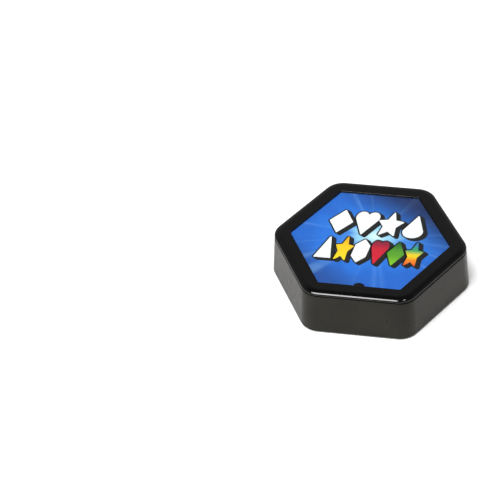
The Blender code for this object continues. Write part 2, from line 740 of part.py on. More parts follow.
def make_board():
    centre = (0.0, 0.0)
    board = cylinder("circuit_board", centre, BOARD_RADIUS, BOARD_BOTTOM, BOARD_TOP, BOARD_GREEN, sides=48)
    low, high = BOARD_BOTTOM - MM, BOARD_TOP + MM
    for number, at in enumerate(BOARD_SCREWS):
        cut(board, cylinder(f"board_hole_{number}", at, BOARD_SHANK + GAP, low, high, sides=12))
    for number, y in enumerate(CELL_Y):
        corner = (CONTACT_INNER - GAP, y - TAB_HALF - GAP, low)
        cut(board, box(f"board_slot_{number}", corner, (CONTACT_OUTER + GAP, y + TAB_HALF + GAP, high)))
    for number in range(1, 7):
        x, y = at_angle(LIGHT_PLACE, 60 * number - 30)
        light = component(f"light_{number}", (x, y), (3.5 * MM, 2.8 * MM, 1.5 * MM), WHITE_PLASTIC)
        soften(light, 0.2 * MM)
    chip = component("sound_chip", (-10.5 * MM, -10.5 * MM), (7.0 * MM, 5.0 * MM, 1.4 * MM), DARK_PLASTIC)
    soften(chip, 0.3 * MM)
    top = BOARD_BOTTOM - GAP
    can = cylinder("capacitor", (16.0 * MM, -4.0 * MM), 2.5 * MM, top - 6.0 * MM, top, DARK_PLASTIC)
    soften(can, 0.3 * MM)


def component(name, at, size, mat):
    """A box on the board's top face."""
    low = (at[0] - size[0] / 2, at[1] - size[1] / 2, BOARD_TOP + GAP)
    return box(name, low, (low[0] + size[0], low[1] + size[1], low[2] + size[2]), mat)


def make_push_switch():
    centre = (0.0, 0.0)
    body = component("push_switch_body", centre, (SWITCH_SIDE, SWITCH_SIDE, SWITCH_HEIGHT), DARK_PLASTIC)
    well = BOARD_TOP + GAP + 0.2 * MM
    cut(body, cylinder("switch_bore", centre, PLUNGER_RADIUS + GAP, well, BOARD_TOP + SWITCH_HEIGHT + MM))
    bottom = well + TRAVEL + 0.5 * GAP
    plunger = cylinder("push_switch_plunger", centre, PLUNGER_RADIUS, bottom, PLUNGER_TOP, WHITE_PLASTIC)
    soften(plunger, 0.15 * MM)


def make_power_switch():
    x, y = POWER_AT
    wide, long = 2.2 * MM, 3.5 * MM
    low = (x - wide, y - long, 10.9 * MM)
    high = (x + wide, y + long + POWER_TRAVEL, BOARD_BOTTOM - GAP)
    body = box("power_switch_body", low, high, DARK_PLASTIC)
    cut(body, stem_slot("power_body_slot", low[2] - MM, STEM_TOP + GAP))
    low = (x - STEM[0] / 2, y - STEM[1] / 2, FOOT_PROUD + GAP)
    high = (x + STEM[0] / 2, y + STEM[1] / 2, STEM_TOP)
    knob = box("power_switch_knob", low, high, DARK_PLASTIC)
    wide, long, thick = 2.4 * MM, 3.8 * MM, 0.8 * MM
    bottom = PLATE_TOP + GAP
    fuse(knob, box("knob_flange", (x - wide, y - long, bottom), (x + wide, y + long, bottom + thick)))
    set_origin(knob, (x, y, PLATE_TOP))


# Speaker


def make_speaker():
    at = (*SPEAKER_AT, PLATE_TOP + GAP)
    rim = SPEAKER_RADIUS
    shell = 0.5 * MM
    back = 4.2 * MM
    turned(
        "speaker_basket",
        [
            (0.0, back),
            (7.0 * MM, back),
            (rim, 1.7 * MM),
            (rim, 0.0),
            (rim - shell, 0.0),
            (rim - shell, 1.3 * MM),
            (6.8 * MM, back - shell),
            (0.0, back - shell),
        ],
        STEEL,
        at,
        steps=32,
    )
    edge = rim - shell - GAP
    turned(
        "speaker_cone",
        [
            (0.0, 2.6 * MM),
            (4.0 * MM, 2.6 * MM),
            (edge - 0.6 * MM, 0.7 * MM),
            (edge, 0.7 * MM),
            (edge, 0.3 * MM),
            (edge - 0.8 * MM, 0.3 * MM),
            (3.8 * MM, 2.2 * MM),
            (0.0, 2.2 * MM),
        ],
        PAPER,
        at,
        steps=32,
    )
    magnet_bottom = at[2] + back + GAP
    cylinder("speaker_magnet", SPEAKER_AT, 6.5 * MM, magnet_bottom, magnet_bottom + 2.8 * MM, STEEL, sides=24)
    for number, (side, mat) in enumerate(((1, RED_LEAD), (-1, BLACK_LEAD)), 1):
        points = [(side * x * MM, y * MM, z * MM) for x, y, z in LEAD_ROUTE]
        wire(f"speaker_lead_{number}", points, LEAD_RADIUS, mat)


make_housing()
make_press_cap()
make_label_stack()
make_guides()
make_base_plate()
make_battery_door()
make_base_hardware()
make_cells()
make_contacts()
make_board()
make_push_switch()
make_power_switch()
make_speaker()
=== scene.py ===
"""Looks of the hexagonal quiz buzzer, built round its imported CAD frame.

Metres, +Z up. The label reads along +X and the front flat faces -Y. Sizes come from the CAD nodes' boxes,
and those that a box can't give are named below in millimetres.
"""

import json
import math

import bmesh
import bpy
from mathutils import Matrix, Vector
from mathutils.geometry import delaunay_2d_cdt


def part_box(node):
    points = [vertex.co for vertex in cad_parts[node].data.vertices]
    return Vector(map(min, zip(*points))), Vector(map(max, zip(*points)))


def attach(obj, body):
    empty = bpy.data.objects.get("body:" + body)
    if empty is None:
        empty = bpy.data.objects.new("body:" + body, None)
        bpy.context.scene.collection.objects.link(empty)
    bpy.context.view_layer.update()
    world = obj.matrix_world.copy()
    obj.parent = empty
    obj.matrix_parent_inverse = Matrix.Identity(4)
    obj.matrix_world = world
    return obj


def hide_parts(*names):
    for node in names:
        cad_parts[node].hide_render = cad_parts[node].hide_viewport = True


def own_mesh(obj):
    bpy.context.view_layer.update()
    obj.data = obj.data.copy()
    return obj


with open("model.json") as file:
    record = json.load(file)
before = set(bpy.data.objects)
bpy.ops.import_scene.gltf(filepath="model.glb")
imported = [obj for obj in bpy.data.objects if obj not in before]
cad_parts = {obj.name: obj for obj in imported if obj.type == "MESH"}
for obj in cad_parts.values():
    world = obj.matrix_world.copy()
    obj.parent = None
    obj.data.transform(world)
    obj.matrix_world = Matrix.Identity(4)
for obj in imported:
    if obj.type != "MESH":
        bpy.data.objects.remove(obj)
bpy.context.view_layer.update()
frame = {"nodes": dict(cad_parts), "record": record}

MM = 0.001
HEX_CORNER = math.cos(math.radians(30))  # apothem of a hexagon of circumradius 1


def low(node):
    """The lowest corner of a CAD node's box."""
    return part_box(node)[0]


def high(node):
    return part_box(node)[1]


def axis_place(node):
    """Where the upright axis of a round CAD node stands."""
    lowest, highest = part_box(node)
    return ((lowest.x + highest.x) / 2, (lowest.y + highest.y) / 2)


# Sizes read from the frame
FOOT_PROUD = low("housing").z
WALL_BOTTOM = high("housing").y
SEAM_Z = high("housing").z
RIM_EDGE = high("press_cap").y
TOP_Z = high("press_cap").z
CARD_TOP = high("label_card").z
PLATE_APOTHEM = high("base_plate").y

# Sizes that repeat the CAD's own
WALL_TOP = 39.8 * MM  # outer apothem of the wall at the seam
WALL_THICK = 2.0 * MM
CORNER_RADIUS = 9.7 * MM
EDGE_ROUND = 0.35 * MM
SEAM_GAP = 0.9 * MM
RIM_REACH = 3.44 * MM
RIM_LIP = 0.15 * MM
BEZEL_UNDER = TOP_Z - 1.35 * MM
SKIRT_OUTER = 37.4 * MM
SKIRT_INNER = 36.0 * MM
SKIRT_BOTTOM = 16.5 * MM
RECESS = 32.2 * MM
SHEET_RADIUS = 0.3 * MM
FLOOR_TOP = 20.45 * MM
FLOOR_BOTTOM = 19.25 * MM
PAN_OUTER = 33.6 * MM
PAN_RADIUS = 1.5 * MM
HUB = 9.0 * MM
OPENING_REACH = 28.0 * MM
HALF_SPOKE = 2.0 * MM
KEY_WIDTH = 4.6 * MM
KEY_TIP = 1.6 * MM
KEY_DEPTH = 1.7 * MM
KEY_DROP = 0.02 * MM
KEY_EDGE = 32.04 * MM  # apothem that the key is measured from
KEY_CLEAR = 0.15 * MM
CORNER_PLACE = 37.0 * MM
GUIDE_ANGLES = (0, 120, 240)
SCREW_ANGLES = (60, 180, 300)
POST_RADIUS = 1.5 * MM
POST_BOTTOM = 8.0 * MM
POST_BORE = (1.05 * MM, 13.4 * MM)  # radius and top
SPRING_SEAT = 3.2 * MM
GUIDE_BOSS = (3.4 * MM, 8.2 * MM, 14.3 * MM)  # radius, bottom and top
SCREW_BOSS = (3.2 * MM, 2.7 * MM, 12.0 * MM)
GUIDE_BORE = 1.8 * MM
SCREW_BORE = (1.4 * MM, 10.0 * MM)  # radius and top
RIB_HALF = 1.0 * MM
RIB_REACH = 44.0 * MM
GAP = 0.3 * MM
OVERLAP = 0.4 * MM  # how far pieces of one moulding run into each other before they are joined
POCKET_EDGE = 0.2 * MM  # chamfer round the mouth of a pocket
PLATE_TOP = FOOT_PROUD + 1.8 * MM
PLATE_EDGE = 0.3 * MM
BOX_X = 26.4 * MM  # half length of the battery box, outside
BOX_Y = (2.6 * MM, 27.4 * MM)
BOX_TOP = 14.3 * MM
BOX_WALL = 1.2 * MM
BOX_CEILING = 0.8 * MM
DOOR_THICK = 1.6 * MM
DOOR_EDGE = 0.2 * MM
DOOR_ROUND = 0.5 * MM
DOOR_TAB = (10.0 * MM, -3.2 * MM)  # width, and the y that it reaches
DOOR_SCREW_AT = (0.0, 0.9 * MM)
DOOR_SHANK = 1.05 * MM
DOOR_HEAD = (2.0 * MM, 0.8 * MM)  # radius and height
DOOR_POCKET = 2.4 * MM
DOOR_BOSS = (3.0 * MM, 8.0 * MM)  # radius and top
DOOR_BORE = (1.8 * MM, 7.0 * MM)
GROOVES = 4
GROOVE_AT = (7.4 * MM, 1.8 * MM)  # y of the first, and the step to the next
GROOVE_LONG = (7.5 * MM, 1.2 * MM)  # half length of the first, and what the next loses
GROOVE_WIDE = 0.45 * MM
PIN_RADIUS = 0.6 * MM
PIN_REACH = 0.7 * MM
BASE_SHANK = 1.1 * MM
BASE_HEAD = (2.1 * MM, 0.85 * MM)
HEAD_POCKET = (2.5 * MM, 1.1 * MM)  # radius and depth
SCREW_TURNS = (18, 64, 41)  # degrees that each cross recess is turned
DOOR_SCREW_TURN = 30
FOOT_RADIUS = 3.5 * MM
FOOT_PLACE = 35.6 * MM
BOARD_SCREWS = ((25.0 * MM, -6.0 * MM), (-25.0 * MM, -6.0 * MM), (0.0, 28.8 * MM))
STANDOFF = (2.4 * MM, 1.1 * MM, 7.0 * MM)  # radius, and its bore's radius and bottom
SPEAKER_AT = (0.0, -20.0 * MM)
SPEAKER_RING = (14.3 * MM, 15.4 * MM, 1.6 * MM)  # inner and outer radius, height over the plate
GRILLE_HOLE = 0.9 * MM
GRILLE_EDGE = 0.15 * MM
GRILLE_RINGS = ((1, 0.0), (6, 3.6 * MM), (12, 7.2 * MM))  # holes and radius of each ring
POWER_AT = (21.5 * MM, -16.0 * MM)
POWER_TRAVEL = 2.0 * MM
STEM = (2.0 * MM, 3.0 * MM)
DISH = (3.0 * MM, 0.8 * MM)  # half width and depth
FLANGE = (2.4 * MM, 3.8 * MM, 0.8 * MM)  # half width, half length, thickness
KNOB_RIBS = (-0.75 * MM, 0.0, 0.75 * MM)
RIB_GAP = 0.16 * MM
CONTACT_SLOT = (24.2 * MM, 1.3 * MM)  # inner x and half width
CELL_Y = (9.5 * MM, 20.5 * MM)
NUB = (1.9 * MM, 0.8 * MM)  # radius and length
SILVER_FROM = 33.0 * MM  # where the silver band on a cell's wrap starts
SPRING_WIRE = 0.25 * MM
SPRING_RADIUS = 2.6 * MM
SPRING_TURNS = 4
SPRING_FLATNESS = 0.35  # how much closer the end turns lie than the middle ones

# Fineness
CORNER_STEPS = 16
ROUND_SIDES = 48
RIM_STEPS = 20
EDGE_STEPS = 4


def at_angle(radius, degrees):
    turn = math.radians(degrees)
    return (radius * math.cos(turn), radius * math.sin(turn))


# Mesh tools


def made(name, bm):
    """A new object from a bmesh, which is used up."""
    bmesh.ops.recalc_face_normals(bm, faces=bm.faces)
    mesh = bpy.data.meshes.new(name)
    bm.to_mesh(mesh)
    bm.free()
    obj = bpy.data.objects.new(name, mesh)
    bpy.context.scene.collection.objects.link(obj)
    return obj


def hexagon(apothem, radius, steps=CORNER_STEPS):
    """Outline of a hexagon with round corners, counterclockwise from the corner on +X."""
    points = []
    for corner in range(6):
        centre = Vector(at_angle((apothem - radius) / HEX_CORNER, 60 * corner))
        for step in range(steps + 1):
            angle = 60 * corner - 30 + 60 * step / steps
            points.append(centre + Vector(at_angle(radius, angle)))
    return points


def skin(bm, rings, closed=False):
    """Faces between rings of points, one above the other. Closed, the last ring joins the first."""
    made_rings = [[bm.verts.new(point) for point in ring] for ring in rings]
    pairs = list(zip(made_rings, made_rings[1:]))
    if closed:
        pairs.append((made_rings[-1], made_rings[0]))
    else:
        bm.faces.new(reversed(made_rings[0]))
        bm.faces.new(made_rings[-1])
    count = len(made_rings[0])
    for lower, upper in pairs:
        for i in range(count):
            j = (i + 1) % count
            bm.faces.new((lower[i], lower[j], upper[j], upper[i]))


def hexagonal(name, profile, closed=False, steps=CORNER_STEPS):
    """A profile of (apothem, corner radius, z) points carried round a hexagon.

    Closed, the profile joins up, as for a wall. Open, both ends are capped.
    """
    bm = bmesh.new()
    rings = [[(p.x, p.y, z) for p in hexagon(apothem, radius, steps)] for apothem, radius, z in profile]
    skin(bm, rings, closed)
    return made(name, bm)


def lathe(name, profile, at=(0.0, 0.0), sides=ROUND_SIDES, closed=False):
    """A profile of (radius, z) points turned about a vertical axis at a place."""
    bm = bmesh.new()
    rings = []
    for radius, z in profile:
        ring = [at_angle(radius, 360 * i / sides) for i in range(sides)]
        rings.append([(at[0] + x, at[1] + y, z) for x, y in ring])
    skin(bm, rings, closed)
    return made(name, bm)


def cylinder(name, at, radius, bottom, top, sides=ROUND_SIDES):
    return lathe(name, [(radius, bottom), (radius, top)], at, sides)


def at_corners(name, angles, radius, bottom, top):
    """Cylinders near the corners that lie at some angles."""
    return [cylinder(name, at_angle(CORNER_PLACE, angle), radius, bottom, top) for angle in angles]


def prism(name, outline, bottom, top):
    bm = bmesh.new()
    skin(bm, [[(x, y, z) for x, y in outline] for z in (bottom, top)])
    return made(name, bm)


def slab(name, outlines, bottom, top):
    """A flat plate in the shape of several overlapping outlines together."""
    corners = [Vector(point[:2]) for outline in outlines for point in outline]
    loops = []
    for outline in outlines:
        start = sum(len(loop) for loop in loops)
        loops.append(range(start, start + len(outline)))
    inside_loops = 1
    tolerance = 1e-8
    points, _, faces, *_ = delaunay_2d_cdt(corners, [], loops, inside_loops, tolerance)
    bm = bmesh.new()
    verts = [bm.verts.new((p.x, p.y, bottom)) for p in points]
    for face in faces:
        bm.faces.new([verts[i] for i in face])
    base = list(bm.faces)
    raised = bmesh.ops.extrude_face_region(bm, geom=base, use_keep_orig=True)["geom"]
    lifted = [item for item in raised if isinstance(item, bmesh.types.BMVert)]
    bmesh.ops.translate(bm, verts=lifted, vec=(0.0, 0.0, top - bottom))
    bmesh.ops.dissolve_limit(bm, angle_limit=math.radians(0.5), verts=bm.verts, edges=bm.edges)
    return made(name, bm)


def rectangle(x0, y0, x1, y1):
    return [(x0, y0), (x1, y0), (x1, y1), (x0, y1)]


def block(name, lowest, highest):
    (x0, y0, z0), (x1, y1, z1) = lowest, highest
    return prism(name, rectangle(x0, y0, x1, y1), z0, z1)


def combine(obj, operation, others):
    """Joins or cuts an object with others, which are used up, and writes the result into its mesh."""
    for other in others:
        step = obj.modifiers.new(other.name, "BOOLEAN")
        step.operation = operation
        step.object = other
        step.solver = "EXACT"
    bpy.context.view_layer.update()
    graph = bpy.context.evaluated_depsgraph_get()
    mesh = bpy.data.meshes.new_from_object(obj.evaluated_get(graph))
    obj.modifiers.clear()
    obj.data = mesh
    for other in others:
        bpy.data.objects.remove(other, do_unlink=True)


def fuse(obj, *others):
    combine(obj, "UNION", others)


def cut(obj, *others):
    combine(obj, "DIFFERENCE", others)


def tube(name, at, inner, outer, bottom, top):
    profile = [(inner, bottom), (outer, bottom), (outer, top), (inner, top)]
    return lathe(name, profile, at, closed=True)


def rod(name, start, end, y, z, radius, sides=24):
    """A cylinder along X between two x places."""
    obj = lathe(name, [(radius, start), (radius, end)], sides=sides)
    obj.data.transform(Matrix.Translation((0.0, y, z)) @ Matrix.Rotation(math.radians(90), 4, "Y"))
    return obj


def wire(name, points, radius):
    """A round wire along a path, as a mesh."""
    curve = bpy.data.curves.new(name, "CURVE")
    curve.dimensions = "3D"
    curve.bevel_depth = radius
    curve.bevel_resolution = 4
    curve.use_fill_caps = True
    spline = curve.splines.new("POLY")
    spline.points.add(len(points) - 1)
    for place, point in zip(spline.points, points):
        place.co = (*point, 1.0)
    path = bpy.data.objects.new(name, curve)
    bpy.context.scene.collection.objects.link(path)
    bpy.context.view_layer.update()
    mesh = bpy.data.meshes.new_from_object(path.evaluated_get(bpy.context.evaluated_depsgraph_get()))
    bpy.data.objects.remove(path, do_unlink=True)
    bm = bmesh.new()
    bm.from_mesh(mesh)
    bmesh.ops.remove_doubles(bm, verts=bm.verts, dist=0.001 * MM)
    return made(name, bm)


def bends(outline):
    """Each corner of an outline, with the directions of the edges before and after it."""
    count = len(outline)
    for i in range(count):
        before, here, after = (Vector(outline[(i + k) % count]) for k in (-1, 0, 1))
        yield here, (here - before).normalized(), (after - here).normalized()


def rounded(corners, radius, inset=0.0, steps=5):
    """A counterclockwise outline with round corners, moved inward by inset about the same centres."""
    points = []
    for here, first, second in bends(corners):
        in_first = Vector((-first.y, first.x))
        in_second = Vector((-second.y, second.x))
        way = 1 if first.cross(second) > 0 else -1
        centre = here + way * radius * (in_first + in_second) / (1 + in_first.dot(in_second))
        start = math.atan2(-way * in_first.y, -way * in_first.x)
        sweep = way * math.acos(max(-1.0, min(1.0, first.dot(second))))
        for step in range(steps + 1):
            turn = start + sweep * step / steps
            reach = radius - way * inset
            points.append(centre + reach * Vector((math.cos(turn), math.sin(turn))))
    return points


def stacked(name, corners, radius, levels):
    """A rounded outline carried through levels of (inset, z)."""
    bm = bmesh.new()
    rings = [[(p.x, p.y, z) for p in rounded(corners, radius, inset)] for inset, z in levels]
    skin(bm, rings)
    return made(name, bm)


def edge_levels(bottom, top, edge, steps=3):
    """Insets and heights that round the bottom and top edges of a plate."""
    lower = []
    for step in range(steps + 1):
        turn = math.radians(90 * step / steps)
        lower.append((edge * (1 - math.sin(turn)), edge * (1 - math.cos(turn))))
    upper = [(inset, top - up) for inset, up in reversed(lower)]
    return [(inset, bottom + up) for inset, up in lower] + upper


def sink(name, at, radius, top, lip, sides=ROUND_SIDES):
    """A cutter for a round pocket in the underside, with a chamfered mouth."""
    below = 0.5 * MM
    profile = [(radius + lip + below, FOOT_PROUD - below), (radius, FOOT_PROUD + lip), (radius, top)]
    return lathe(name, profile, at, sides)


def smooth(obj, sharp=35):
    """Smooth shading with edges above an angle kept sharp, and flats that stay flat."""
    obj.data.shade_smooth()
    obj.data.set_sharp_from_angle(angle=math.radians(sharp))
    weighted = obj.modifiers.new("flats", "WEIGHTED_NORMAL")
    weighted.keep_sharp = True
    return obj


def corner_arc(centre, radii, start, end, steps=EDGE_STEPS):
    """Points on an elliptical quarter in (apothem, z), between two angles in degrees."""
    points = []
    for step in range(steps + 1):
        turn = math.radians(start + (end - start) * step / steps)
        points.append((centre[0] + radii[0] * math.cos(turn), centre[1] + radii[1] * math.sin(turn)))
    return points


def wall_radius(apothem, outer=WALL_TOP):
    """Corner radius of a hexagon whose corners share their centres with an outer one's."""
    return CORNER_RADIUS - (outer - apothem)


# Node tools


def srgb(red, green, blue):
    """A linear colour from 0 to 255 display values."""
    values = []
    for value in (red, green, blue):
        share = value / 255
        values.append(share / 12.92 if share <= 0.04045 else ((share + 0.055) / 1.055) ** 2.4)
    return (*values, 1.0)


def shade(color, share):
    return (*(channel * share for channel in color[:3]), 1.0)


class Nodes:
    """A material's node tree, with short calls to add to it."""

    def __init__(self, name):
        self.material = bpy.data.materials.new(name)
        self.material.use_nodes = True
        self.tree = self.material.node_tree
        self.shader = self.tree.nodes["Principled BSDF"]
        self.place = self.add("ShaderNodeTexCoord").outputs["Object"]

    def add(self, kind, inputs=(), **settings):
        node = self.tree.nodes.new(kind)
        for key, value in settings.items():
            setattr(node, key, value)
        for key, value in dict(inputs).items():
            self.feed(node.inputs[key], value)
        return node

    def feed(self, socket, value):
        if isinstance(value, bpy.types.NodeSocket):
            self.tree.links.new(value, socket)
        else:
            socket.default_value = value

    def set(self, **inputs):
        for key, value in inputs.items():
            self.feed(self.shader.inputs[key.replace("_", " ").title().replace("Ior", "IOR")], value)

    def math(self, operation, *values):
        node = self.add("ShaderNodeMath", operation=operation)
        for socket, value in zip(node.inputs, values):
            self.feed(socket, value)
        return node.outputs["Value"]

    def vector(self, operation, *values):
        return self.add("ShaderNodeVectorMath", enumerate(values), operation=operation)

    def noise(self, size, detail=3.0, stretch=(1.0, 1.0, 1.0), rough=0.5):
        """Noise whose features are about size across, in metres."""
        scale = self.add("ShaderNodeMapping", {"Vector": self.place, "Scale": stretch})
        inputs = {"Vector": scale.outputs[0], "Scale": 1 / size, "Detail": detail, "Roughness": rough}
        return self.add("ShaderNodeTexNoise", inputs).outputs["Fac"]

    def spread(self, value, from_low, from_high, to_low=0.0, to_high=1.0):
        """A value's range carried to another one, with a soft start and end."""
        inputs = {"Value": value, "From Min": from_low, "From Max": from_high}
        inputs.update({"To Min": to_low, "To Max": to_high})
        return self.add("ShaderNodeMapRange", inputs, interpolation_type="SMOOTHSTEP").outputs["Result"]

    def mix(self, share, first, second, blend="MIX"):
        node = self.add("ShaderNodeMix", data_type="RGBA", blend_type=blend)
        for number, value in ((0, share), (6, first), (7, second)):
            self.feed(node.inputs[number], value)
        return node.outputs[2]

    def ramp(self, value, stops):
        node = self.add("ShaderNodeValToRGB", {"Fac": value})
        node.color_ramp.interpolation = "EASE"
        elements = node.color_ramp.elements
        while len(elements) < len(stops):
            elements.new(1.0)
        for element, (place, color) in zip(elements, stops):
            element.position = place
            element.color = color
        return node.outputs["Color"]

    def bump(self, height, depth, strength=1.0, after=None):
        inputs = {"Height": height, "Distance": depth, "Strength": strength}
        if after is not None:
            inputs["Normal"] = after
        return self.add("ShaderNodeBump", inputs).outputs["Normal"]

    def worn_edge(self):
        """A mask of convex edges, broken up by noise."""
        pointed = self.add("ShaderNodeNewGeometry").outputs["Pointiness"]
        edge = self.spread(pointed, 0.53, 0.6)
        return self.math("MULTIPLY", edge, self.spread(self.noise(1.2 * MM), 0.35, 0.7))


def moulded(name, color, roughness, grain, depth, mottle=0.12, metallic=0.0, stretch=(1, 1, 1)):
    """Plastic, rubber, paper or metal with a fine grain, whose size and depth are in millimetres."""
    nodes = Nodes(name)
    broad = nodes.spread(nodes.noise(9 * MM, 4.0), 0.3, 0.7)
    nodes.set(
        base_color=nodes.mix(broad, shade(color, 1 - mottle), shade(color, 1 + mottle)),
        metallic=metallic,
        roughness=nodes.spread(
            nodes.noise(3 * MM), 0.25, 0.75, roughness * 0.88, min(1.0, roughness * 1.12)
        ),
        normal=nodes.bump(nodes.noise(grain * MM, 2.0, stretch), depth * MM),
    )
    return nodes.material


def satin_black():
    """The housing: near-black plastic with a fine spark-eroded grain and edges rubbed slightly paler."""
    nodes = Nodes("satin_black_plastic")
    color = srgb(37, 36, 32)
    broad = nodes.spread(nodes.noise(14 * MM, 4.0), 0.3, 0.7)
    base = nodes.mix(broad, shade(color, 0.86), shade(color, 1.14))
    rubbed = nodes.worn_edge()
    nodes.set(
        base_color=nodes.mix(rubbed, base, shade(color, 1.4)),
        roughness=nodes.spread(nodes.noise(2.5 * MM, 4.0), 0.25, 0.75, 0.27, 0.35),
        specular_ior_level=0.12,
        specular_tint=(1.0, 0.95, 0.86, 1.0),
        normal=nodes.bump(nodes.noise(0.11 * MM, 2.0), 0.0018 * MM),
    )
    return nodes.material


def gloss_black():
    """The cap: polished black plastic with faint hairlines, smudges and a little dust."""
    nodes = Nodes("gloss_black_plastic")
    color = srgb(8, 7, 7)
    smudge = nodes.spread(nodes.noise(11 * MM, 5.0, rough=0.6), 0.5, 0.72)
    dust = nodes.spread(nodes.noise(0.28 * MM, 1.0), 0.76, 0.8)
    along_x = nodes.spread(nodes.noise(0.25 * MM, 1.0, (0.04, 0.8, 1.0)), 0.7, 0.76)
    along_y = nodes.spread(nodes.noise(0.25 * MM, 1.0, (1.0, 0.03, 1.0)), 0.7, 0.76)
    lines = nodes.math("MAXIMUM", along_y, along_x)
    worn = nodes.math("ADD", nodes.math("MULTIPLY", smudge, 0.07), nodes.math("MULTIPLY", lines, 0.05))
    nodes.set(
        base_color=nodes.mix(nodes.math("MULTIPLY", dust, 0.35), color, srgb(96, 92, 86)),
        roughness=nodes.math("ADD", 0.07, worn),
        normal=nodes.bump(lines, -0.001 * MM, 0.25, nodes.bump(nodes.noise(6 * MM, 1.0), 0.006 * MM)),
    )
    return nodes.material


def clear_plastic():
    """A thin clear sheet: it passes straight through and mirrors a little, more at a slant."""
    nodes = Nodes("clear_window")
    nodes.tree.nodes.remove(nodes.shader)
    facing = nodes.math("SUBTRACT", 1.0, nodes.add("ShaderNodeNewGeometry").outputs["Backfacing"])
    fresnel = nodes.math("MULTIPLY", facing, nodes.add("ShaderNodeFresnel", {"IOR": 1.49}).outputs["Fac"])
    rough = nodes.spread(nodes.noise(7 * MM, 5.0, rough=0.6), 0.45, 0.75, 0.04, 0.11)
    mirror = nodes.add("ShaderNodeBsdfGlossy", {"Color": (1, 1, 1, 1), "Roughness": rough})
    through = nodes.add("ShaderNodeBsdfTransparent", {"Color": (0.97, 0.985, 0.98, 1)})
    mixed = nodes.add("ShaderNodeMixShader", {"Fac": fresnel})
    nodes.tree.links.new(through.outputs[0], mixed.inputs[1])
    nodes.tree.links.new(mirror.outputs[0], mixed.inputs[2])
    nodes.tree.links.new(mixed.outputs[0], nodes.tree.nodes["Material Output"].inputs["Surface"])
    return nodes.material


def wrapped_cell():
    """A cell's printed film, along the cell's own axis: blue, with a silver band at the nub's end."""
    nodes = Nodes("cell_film")
    along = nodes.add("ShaderNodeSeparateXYZ", {"Vector": nodes.place}).outputs["Z"]
    band = nodes.spread(along, SILVER_FROM, SILVER_FROM + 0.4 * MM)
    mottle = nodes.spread(nodes.noise(5 * MM, 3.0), 0.3, 0.7)
    blue = nodes.mix(mottle, srgb(24, 58, 150), srgb(30, 68, 166))
    silver = nodes.mix(mottle, srgb(168, 170, 174), srgb(184, 186, 190))
    nodes.set(
        base_color=nodes.mix(band, blue, silver),
        metallic=nodes.math("MULTIPLY", band, 0.7),
        roughness=nodes.spread(nodes.noise(3 * MM), 0.25, 0.75, 0.24, 0.32),
        normal=nodes.bump(nodes.noise(2 * MM, 2.0, (0.3, 0.3, 1.0)), 0.02 * MM),
    )
    return nodes.material


def screened(nodes, color, tint, roughness):
    """A print's finish: fine screen dots in a tint, over slightly uneven paper."""
    dots = nodes.spread(nodes.noise(0.16 * MM, 1.0), 0.3, 0.7)
    nodes.set(
        base_color=nodes.mix(dots, color, tint, "MULTIPLY"),
        roughness=nodes.spread(nodes.noise(4 * MM), 0.3, 0.7, roughness, roughness + 0.1),
        normal=nodes.bump(nodes.noise(0.3 * MM, 3.0), 0.004 * MM),
    )
    return nodes.material


GLOW_AT = (2.5 * MM, 3.0 * MM)
GLOW_REACH = 36.0 * MM
GLOW_STOPS = (
    (0.0, srgb(200, 226, 228)),
    (0.18, srgb(140, 192, 220)),
    (0.4, srgb(48, 120, 204)),
    (0.66, srgb(18, 104, 200)),
    (1.0, srgb(12, 92, 186)),
)
DARK_SIDE_AND_SHADOW = (  # direction, where the dark starts and ends, its strength and colour
    # painted shadow: the back-right side darkens almost to black
    ((0.6, 0.8, 0.0), 8 * MM, 34 * MM, 0.92, srgb(8, 24, 66)),
    ((-0.6, -0.8, 0.0), 19 * MM, 33 * MM, 0.6, srgb(16, 54, 118)),
)


def printed_panel():
    """The card's print: a pale glow in the middle of a blue field, with soft rays, a darker front-left side
    and painted shadow over the back-right side.
    """
    nodes = Nodes("printed_panel")
    shifted = nodes.vector("SUBTRACT", nodes.place, (*GLOW_AT, 0.0)).outputs["Vector"]
    flat = nodes.vector("MULTIPLY", shifted, (1.0, 1.25, 0.0)).outputs["Vector"]
    distance = nodes.vector("LENGTH", flat).outputs["Value"]
    toward = nodes.vector("NORMALIZE", flat).outputs["Vector"]
    rays = nodes.add("ShaderNodeTexNoise", {"Vector": toward, "Scale": 2.6, "Detail": 3.0}).outputs["Fac"]
    clouds = nodes.noise(16 * MM, 3.0)
    reach = nodes.math("DIVIDE", distance, GLOW_REACH)
    uneven = nodes.math("ADD", nodes.math("SUBTRACT", rays, 0.5), nodes.math("SUBTRACT", clouds, 0.5))
    reach = nodes.math("ADD", reach, nodes.math("MULTIPLY", nodes.math("MULTIPLY", uneven, 0.9), reach))
    field = nodes.ramp(reach, GLOW_STOPS)
    # the darker front-left side, and the painted shadow over the back-right side
    for direction, start, end, strength, color in DARK_SIDE_AND_SHADOW:
        along = nodes.vector("DOT_PRODUCT", nodes.place, direction).outputs["Value"]
        field = nodes.mix(nodes.spread(along, start, end, 0.0, strength), field, color)
    thin = nodes.add("ShaderNodeTexNoise", {"Vector": toward, "Scale": 4.2, "Detail": 2.0}).outputs["Fac"]
    streaks = nodes.spread(thin, 0.52, 0.72, 0.0, 0.38)
    streaks = nodes.math("MULTIPLY", streaks, nodes.spread(clouds, 0.3, 0.6, 0.3, 1.0))
    field = nodes.mix(streaks, field, srgb(118, 172, 226))
    return screened(nodes, field, (0.9, 0.92, 0.94, 1), 0.42)


def ink(name, bottom, top, stops):
    """A printed colour that runs up the shape through stops, from its bottom to its top."""
    nodes = Nodes(name)
    height = nodes.add("ShaderNodeSeparateXYZ", {"Vector": nodes.place}).outputs["Y"]
    along = nodes.math("DIVIDE", nodes.math("SUBTRACT", height, bottom), top - bottom)
    color = nodes.ramp(along, stops)
    return screened(nodes, color, (0.93, 0.93, 0.93, 1), 0.4)


# Housing


